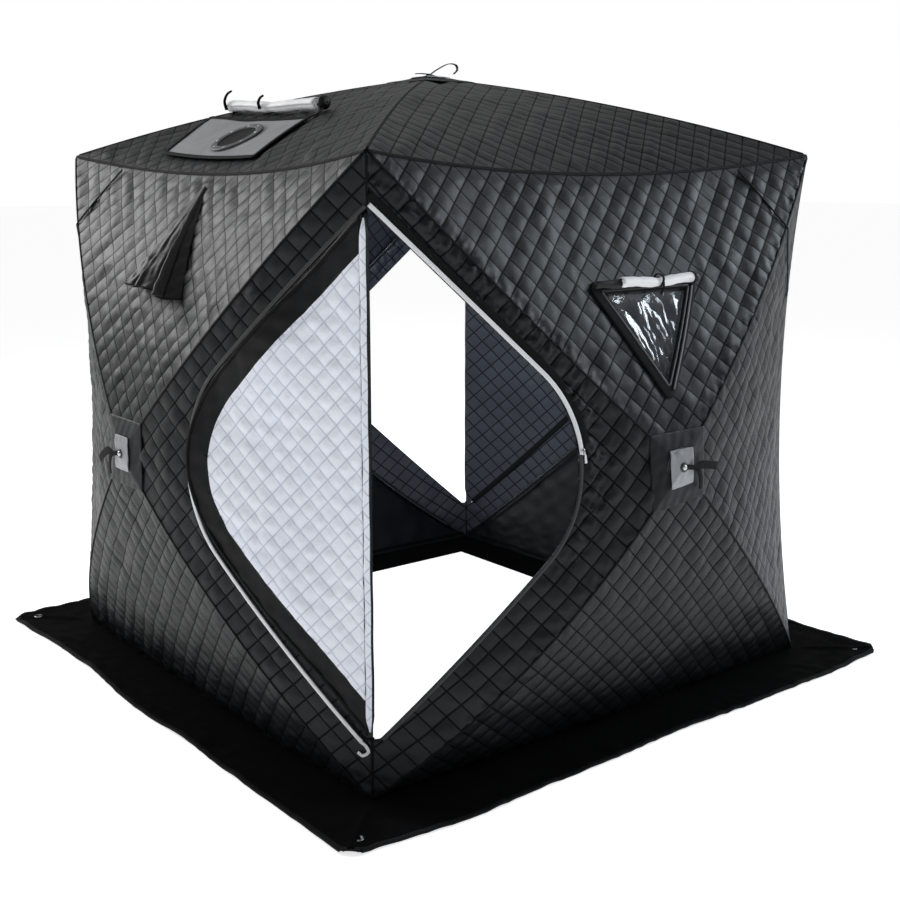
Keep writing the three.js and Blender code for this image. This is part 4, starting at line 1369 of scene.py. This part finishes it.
def stove_panel():
    n = 90
    a, b = np.meshgrid(np.linspace(0, 1, n + 1), np.linspace(0, 1, n + 1), indexing="ij")
    p = STOVE_PANEL
    places = ((p[0] * (1 - a[..., None]) + p[1] * a[..., None]) * (1 - b[..., None])
              + (p[3] * (1 - a[..., None]) + p[2] * a[..., None]) * b[..., None])
    places[..., 0] += PANEL_BOW * np.sin(b * math.pi) * (a - 0.5)
    kept = ~inside(STOVE_HOLE, cell_middles(places))
    some, gone = touching(kept)
    snap(places, some & gone, STOVE_HOLE, 0.01)
    x, y = places.reshape(-1, 2).T
    u, v = ROOF.locate(x, y)
    base, normal = ROOF.sheet(u, v), ROOF.normal(u, v)
    lift = PANEL_LIFT + 0.0016 * ripple(x, y, 71, 0.22)
    outer, inner = ((base + normal * side[:, None]).reshape(n + 1, n + 1, 3)
                    for side in (lift, lift - 0.003))
    made = grid_solid("stove_panel", outer, inner, kept, places, [SILVER])
    sewn(made, ROOF, ["stove_jack_panel"])


def stove_trims():
    """Tape round the panel, the pipe ring with its rivets and the dark mesh inside it."""
    outline = np.concatenate([STOVE_PANEL, STOVE_PANEL[:1]])
    face_ribbon("panel_tape", ROOF, outline, 0.0135, (0.016, 0.006))
    centre, across, along, up = roof_frame(STOVE_SPOT)
    section = [(-0.012, -0.0015), (0.012, -0.0015), (0.013, 0.0), (0.011, 0.0028), (0.007, 0.0034),
               (-0.007, 0.0034), (-0.011, 0.0028), (-0.013, 0.0)]
    ring_path = ring_points(centre + up * 0.0172, across, along, RING_RADIUS, 97)
    parts = [sweep("ring_body", ring_path, up, section, GREY_PLASTIC)]
    for at in ring_points(centre + up * 0.0200, across, along, RING_RADIUS, 17)[1::2]:
        path = [at + up * h for h in (-0.001, 0.0008, 0.0018, 0.0022)]
        parts.append(sweep("ring_rivet", path, across, round_outline(0.0042, 12), STEEL,
                           np.array([1.0, 1.0, 0.75, 0.3])))
    sewn(joined("stove_ring", parts), ROOF, ["stove_pipe_ring"])
    rings = []
    for r in np.linspace(0.0005, MESH_RADIUS, 16):
        height = 0.0168 - 0.0025 * (1 - (r / MESH_RADIUS) ** 2) + 0.0004 * math.sin(r * 900)
        rings.append(ring_points(centre + up * height, across, along, r, 65))
    top = np.array(rings)
    places = np.stack([(top - centre) @ across, (top - centre) @ along], -1)
    disc = grid_solid("stove_pipe_mesh", top, top - up * 0.0012, np.ones((15, 64), bool), places,
                      [PIPE_MESH])
    sewn(disc, ROOF)


def stove_cover():
    """The white cover rolled up beside the panel, with its dark end cap, tail and hooks."""
    a = np.array([-0.500, 0.500, 0.0])
    b = np.array([-0.470, -0.040, 0.0])
    for end, y in ((a, 0.470), (b, b[1])):
        u, v = ROOF.locate(np.array([end[0]]), np.array([y]))
        end[2] = ROOF.sheet(u, v)[0][2] + STOVE_COVER_DEPTH
    roll = spiral_roll("stove_cover", a, b + np.array([0, 0.022, 0]), *STOVE_ROLL, 0.0024)
    rolls = sewn(roll, ROOF, ["stove_jack_cover_roll"])
    axis = unit(b - a)
    knob = [b + axis * s + UP * 0.006 for s in (-0.004, 0.002, 0.008, 0.016, 0.022, 0.026)]
    parts = [sweep("roll_cap", knob, UP, round_outline(0.024, 20), FLAP_BLACK,
                   np.array([0.5, 0.9, 1.0, 1.0, 0.85, 0.4]))]
    tail = curve_through([b + axis * 0.012 + np.array([-0.010, 0, -0.010]),
                          b + axis * 0.018 + np.array([-0.030, 0, -0.030]),
                          b + axis * 0.010 + np.array([-0.050, 0, -0.040])], 20)
    parts.append(sweep("roll_tail", tail, UP, flat_outline(0.020, 0.008), FLAP_BLACK,
                       np.linspace(1.0, 0.6, len(tail))))
    for share, lean in ((0.04, 1.0), (0.42, 0.7)):
        base = a + (b - a) * share + np.array([-0.026, 0, -0.012])
        hook = curve_through([base, base + np.array([-0.004, 0.006, 0.028]) * lean,
                              base + np.array([0.002, -0.002, 0.052]) * lean,
                              base + np.array([0.012, -0.018, 0.064]) * lean], 26)
        parts.append(sweep("roll_hook", hook, np.array([0, -1.0, 0.3]), flat_outline(0.012, 0.0035), STRAP,
                           np.linspace(1.1, 0.55, len(hook))))
    sewn(joined("stove_cover_ties", parts), ROOF)
    return rolls


stove_panel()
stove_trims()
stove_covers = stove_cover()


# Hubs: patches, caps and pull straps

PATCH_REACH = 0.118


def layer_on(face, name, half_width, half_height, cells, lift, thick, uv_scale, material):
    """A thin cloth laid over a hub's hole, with its cut size. lift gives its height from u and v."""
    sides = [np.linspace(-half, half, n + 1) for half, n in zip((half_width, half_height), cells)]
    u, v = np.meshgrid(*sides, indexing="ij")
    normal = face.normal(u, v, 0.03)
    height = lift(u, v)
    outer = face.sheet(u, v) + normal * height[..., None]
    inner = face.sheet(u, v) + normal * (height - thick)[..., None]
    made = grid_solid(name, outer, inner, np.ones(cells, bool), np.stack([u, v], -1) * uv_scale, [material],
                      flip=face is ROOF)
    return made, cut_size(outer)


def patch_lift(u, v):
    far = np.maximum(abs(u), abs(v)) / PATCH_REACH
    return 0.0095 + 0.0025 * (1 - far ** 2) + 0.0006 * ripple(u, v, 81, 0.05)


def band_lift(u, v):
    return 0.0158 + 0.0006 * ripple(u, v, 82, 0.03)


def hub_patch(face):
    """A reinforcing patch over the hub hole, with a grey tape across it, each with its cut size."""
    return (layer_on(face, f"hub_patch_{face.name}", PATCH_REACH, PATCH_REACH, (40, 40), patch_lift, 0.0022,
                     0.918, PATCH_CLOTH),
            layer_on(face, f"hub_band_{face.name}", 0.048, 0.058, (30, 36), band_lift, 0.0016, 1.0,
                     REFLECTIVE))


def hub_details(face):
    """Domed bolt cap and washer in the middle of the patch."""
    parts = []
    for name, heights, section, material, swell in (
        ("washer", (0.010, 0.0155, 0.0168, 0.0172), round_outline(0.015, 24), PLASTIC, (1, 1, 0.94, 0.7)),
        ("cap", (0.016, 0.0175, 0.0195, 0.021, 0.0216), round_outline(0.0085, 18), STEEL,
         (1, 1, 0.9, 0.6, 0.2)),
    ):
        path = [face.hub + face.out * h for h in heights]
        parts.append(sweep(name, path, face.right, section, material, np.array(swell)))
    return joined(f"hub_cap_{face.name}", parts)


def pull_strap(face, sideways, drop):
    """Webbing pull: a doubled loop that stands out to one side, and its tail hanging down."""
    hub, right, up, out = face.hub, face.right * sideways, face.up, face.out
    o = hub + out * 0.019
    loop = curve_through([o - right * 0.006, o + right * 0.024 + out * 0.003,
                          o + right * 0.060 + up * 0.002 + out * 0.006,
                          o + right * 0.100 - up * (0.004 + drop) + out * 0.006,
                          o + right * 0.134 - up * (0.012 + 2.2 * drop) + out * 0.004], 50)
    parts = [sweep("strap_loop", loop, out, flat_outline(0.025, 0.0028), STRAP,
                   0.36 + 0.64 * smooth_step(np.linspace(0, 1, len(loop)), 0.30, 0.52))]
    back = curve_through([o - right * 0.004 - out * 0.003, o + right * 0.024 - out * 0.002 - up * 0.002,
                          o + right * 0.056 - up * 0.012, o + right * 0.070 - up * 0.042,
                          o + right * 0.073 - up * 0.074 - out * 0.002], 50)
    parts.append(sweep("strap_tail", back, out, flat_outline(0.016, 0.0024), STRAP,
                       1 + 0.06 * np.sin(np.linspace(1, 12, len(back)))))
    return joined(f"pull_{face.name}", parts)


def roof_strap():
    """Webbing pull of the roof: a flat root and a loop that stands up."""
    o = ROOF.hub + UP * 0.018
    x = unit(np.array([1.0, -0.3, 0]))
    root = curve_through([o, o - x * 0.030 + UP * 0.002, o - x * 0.052 + UP * 0.001], 20)
    stand = curve_through([o, o + x * 0.028 + UP * 0.018, o + x * 0.066 + UP * 0.036,
                           o + x * 0.094 + UP * 0.034, o + x * 0.100 + UP * 0.018,
                           o + x * 0.088 + UP * 0.004], 50)
    section = flat_outline(0.020, 0.0028)
    return joined("pull_roof", [sweep("strap_root", root, UP, section, STRAP),
                                sweep("strap_stand", stand, UP, section, STRAP)])


def settle_patch(made):
    """Bakes the patch's transform into its mesh."""
    follow(made)


for face in (FRONT, LEFT, ROOF):
    for made, size in hub_patch(face):
        for k, piece in enumerate(with_twin(made, face is not ROOF)):
            settle_patch(piece)
    riding(hub_details(face), f"hub_{face.name}", twin=face is not ROOF)

for face, made in ((FRONT, pull_strap(FRONT, 1, 0.0)), (LEFT, pull_strap(LEFT, -1, 0.012)),
                   (ROOF, roof_strap())):
    body = f"pull_strap_{face.name}"
    riding(made, body, [body], twin=face is not ROOF)


# Rods: smooth glass-fibre tubes with ferrules, on the same ends as the CAD

PIVOT_RADIUS = 0.034
PIVOT_DEPTH = 0.018
ROD_UNDER = 0.024
ROD_END_GAP = 0.120
ROD_RADIUS = 0.0055
FERRULES = (0.35, 0.68)
FERRULE_HALF = 0.030
FERRULE_SWELL = 0.32
END_SWELL = 1.25


def rod(face, index):
    def world(v):
        return face.hub + face.right * v[0] + face.up * v[1] + face.out * v[2]

    def local(p):
        d = p - face.hub
        return np.array([d @ face.right, d @ face.up, d @ face.out])

    corner = local(face.corners[index])
    heading = math.atan2(corner[1], corner[0])
    pivot = np.array([PIVOT_RADIUS * math.cos(heading), PIVOT_RADIUS * math.sin(heading), -PIVOT_DEPTH])
    reach = np.linalg.norm(face.corners[index] - face.hub)
    end = 1 - ROD_END_GAP / reach
    tip = local(face.ridge(np.array(index), np.array(end)))
    tip[2] -= ROD_UNDER
    share = (end - PIVOT_RADIUS / reach) ** 2
    start = pivot + unit(tip - pivot) * 0.006
    u = np.linspace(0, 1, 70)
    path = start + (tip - start) * u[:, None]
    path[:, 2] += share * face.bends[index] * arch(u)
    if face is not ROOF:
        path[:, 1] -= share * face.sags[index] * arch(u)
    swell = np.ones(len(u))
    for ferrule in FERRULES:
        swell += FERRULE_SWELL * (abs(u - ferrule) < FERRULE_HALF)
    swell[-3:] = (END_SWELL, END_SWELL, 0.8)
    swell[:4] = END_SWELL
    points = np.array([world(p) for p in path])
    return sweep(f"pole_{face.name}_{index + 1}", points, face.out, round_outline(ROD_RADIUS), ROD, swell)


for face in (FRONT, LEFT, ROOF):
    for k in range(4):
        body = f"rod_{face.name}_{k + 1}"
        riding(rod(face, k), body, [body], face is not ROOF)


# Snow skirt

SKIRT_INNER = FOOT_HALF - 0.170
SKIRT_OUTER = FOOT_HALF + 0.235
SKIRT_SLIP = 0.010
SKIRT_RISE = 0.014


def skirt_places(x, y, loose):
    """Where the skirt's cloth lies, a little slipped where it is loose."""
    return [place * (1 + SKIRT_SLIP * ripple(x, y, seed, 0.6) * loose / SKIRT_OUTER)
            for place, seed in ((x, 93), (y, 94))]


def skirt_folds(x, y):
    """Low waves and narrow folds of the skirt."""
    return 0.0045 * (0.5 + 0.5 * ripple(x, y, 91, 0.30)) + 0.003 * abs(ripple(x, y, 92, 0.16))


def snow_skirt():
    n = 260
    line = np.linspace(-SKIRT_OUTER, SKIRT_OUTER, n + 1)
    x, y = np.meshgrid(line, line, indexing="ij")
    middle_x, middle_y = abs(cell_middles(x)), abs(cell_middles(y))
    kept = np.maximum(middle_x, middle_y) > SKIRT_INNER
    kept &= middle_x + middle_y < 2 * SKIRT_OUTER - 0.045
    far = np.maximum(abs(x), abs(y))
    loose = smooth_step(far, FOOT_HALF + 0.03, SKIRT_OUTER)
    mitre = fade(abs(x) - abs(y), 0.016) * smooth_step(far, FOOT_HALF + 0.01, FOOT_HALF + 0.08)
    lift = loose * skirt_folds(x, y) + mitre * 0.010 * (1 - loose * 0.5)
    lift = np.clip(lift, 0, SKIRT_RISE)
    px, py = skirt_places(x, y, loose)
    top = np.stack([px, py, 0.0055 + lift], -1)
    low = np.stack([px, py, 0.0005 + lift * 0.8], -1)
    made = grid_solid("skirt_cloth", top, low, kept, np.stack([x, y], -1), [SKIRT_BLACK])
    riding(made, "shell", ["snow_skirt"], twin=False)
    e = SKIRT_OUTER - 0.006
    cut = e - 0.04
    loop = [(-cut, -e), (cut, -e), (e, -cut), (e, cut), (cut, e), (-cut, e), (-e, cut), (-e, -cut),
            (-cut, -e)]
    x, y = resample(np.array(loop), 0.012).T
    height = 0.0045 + np.clip(skirt_folds(x, y), 0, SKIRT_RISE)
    path = np.column_stack([*skirt_places(x, y, 1), height])
    riding(sweep("skirt_hem", path, UP, flat_outline(0.018, 0.006), BINDING), "shell", twin=False)
    return made


skirt = snow_skirt()


GROMMET_PLACE = 1.090
GROMMET_HEIGHT = 0.0105
GROMMET_RADIUS = 0.0125


def grommets():
    x, y = np.eye(3)[:2]
    for name, sx, sy in (("near", -1, -1), ("right", 1, -1), ("far", 1, 1), ("left", -1, 1)):
        centre = np.array([sx * GROMMET_PLACE, sy * GROMMET_PLACE, GROMMET_HEIGHT])
        ring = ring_points(centre, x, y, GROMMET_RADIUS, 41)
        made = sweep(f"grommet_{name}", ring, UP, flat_outline(0.0075, 0.0035), STEEL)
        riding(made, "shell", [f"anchor_eyelet_{name}"], twin=False)


grommets()


# CAD nodes that stay

def repaint(node, material):
    mesh = frame["nodes"][node].data
    mesh.materials.clear()
    mesh.materials.append(material)


for side in ("roof", "front", "back", "left", "right"):
    repaint(f"hub_{side}", PLASTIC)
for corner in ("near", "right", "far", "left"):
    repaint(f"corner_boot_{corner}", PLASTIC)


# Stage, camera and light

FLOOR_HALF = 60
FLOOR_LOW = -0.0005
FLOOR_GLOW = 0.68
SIDE_GLOW = 0.45
DARK_SIDE = (-0.66, -0.75, -0.05)
CAMERA_AT = (-2.799, -3.613, 1.700)
CAMERA_YAW = 38.62
CAMERA_PITCH = -12.24
CAMERA_LENS = 51.34
SENSOR_WIDTH = 36


def floor():
    mesh = bpy.data.meshes.new("floor")
    corners = [(x * FLOOR_HALF, y * FLOOR_HALF, FLOOR_LOW) for x, y in ((-1, -1), (1, -1), (1, 1), (-1, 1))]
    mesh.from_pydata(corners, [], [(0, 1, 2, 3)])
    m = Nodes("pale_floor", (0.92, 0.92, 0.92), 0.8, specular=0.1)
    m.set(m.shader, "Emission Color", (1, 1, 1, 1))
    m.set(m.shader, "Emission Strength", FLOOR_GLOW)
    mesh.materials.append(m.material)
    add_object("floor", mesh)


def camera():
    yaw, pitch = math.radians(CAMERA_YAW), math.radians(CAMERA_PITCH)
    forward = Vector((math.sin(yaw) * math.cos(pitch), math.cos(yaw) * math.cos(pitch), math.sin(pitch)))
    right = Vector((math.cos(yaw), -math.sin(yaw), 0))
    data = bpy.data.cameras.new("camera")
    data.sensor_width = SENSOR_WIDTH
    data.lens = CAMERA_LENS
    made = add_object("camera", data)
    rotation = Matrix((right, right.cross(forward), -forward)).transposed().to_4x4()
    made.matrix_world = Matrix.Translation(CAMERA_AT) @ rotation
    bpy.context.scene.camera = made


def area_light(name, at, aim, size, power, colour=(1, 1, 1)):
    data = bpy.data.lights.new(name, "AREA")
    data.shape = "RECTANGLE"
    data.size, data.size_y = size
    data.energy = power
    data.color = colour
    made = add_object(name, data)
    made.location = at
    made.rotation_euler = (Vector(aim) - Vector(at)).to_track_quat("-Z", "Y").to_euler()


def world():
    """Bright all round, and dark on the side that the door corner faces, as if by a black screen."""
    made = bpy.data.worlds.new("studio")
    bpy.context.scene.world = made
    made.use_nodes = True
    tree = made.node_tree
    kinds = ("TexCoord", "VectorMath", "MapRange", "LightPath", "Math")
    place, dot, spread, ray, choose = (tree.nodes.new("ShaderNode" + kind) for kind in kinds)
    dot.operation = "DOT_PRODUCT"
    dot.inputs[1].default_value = DARK_SIDE
    for socket, value in (("From Min", 0.0), ("From Max", 0.50), ("To Min", SIDE_GLOW), ("To Max", 0.0)):
        spread.inputs[socket].default_value = value
    choose.operation = "MAXIMUM"
    back = tree.nodes["Background"]
    back.inputs["Color"].default_value = (1, 1, 1, 1)
    for source, target in ((place.outputs["Generated"], dot.inputs[0]),
                           (dot.outputs["Value"], spread.inputs["Value"]),
                           (spread.outputs["Result"], choose.inputs[0]),
                           (ray.outputs["Is Camera Ray"], choose.inputs[1]),
                           (choose.outputs[0], back.inputs["Strength"])):
        tree.links.new(source, target)


floor()
camera()
world()
area_light("left_key", (-3.0, 4.6, 3.6), (-0.9, 0.1, 1.1), (2.2, 2.2), 190)
area_light("right_key", (4.9, -2.9, 3.4), (0.3, -1.0, 1.1), (2.4, 2.0), 190, (0.82, 0.91, 1.0))
area_light("top_fill", (0.2, 0.4, 4.6), (0, 0, 1.0), (3.0, 3.0), 22)
area_light("cabin_glow", (-0.35, 0.1, 1.72), (0.25, 0.1, 0.3), (0.5, 0.5), 22, (0.82, 0.9, 1.0))
area_light("leaf_fill", (-4.6, -3.6, 2.6), (-1.1, -0.6, 0.9), (1.2, 1.2), 36)
bpy.context.scene.view_settings.view_transform = "Standard"
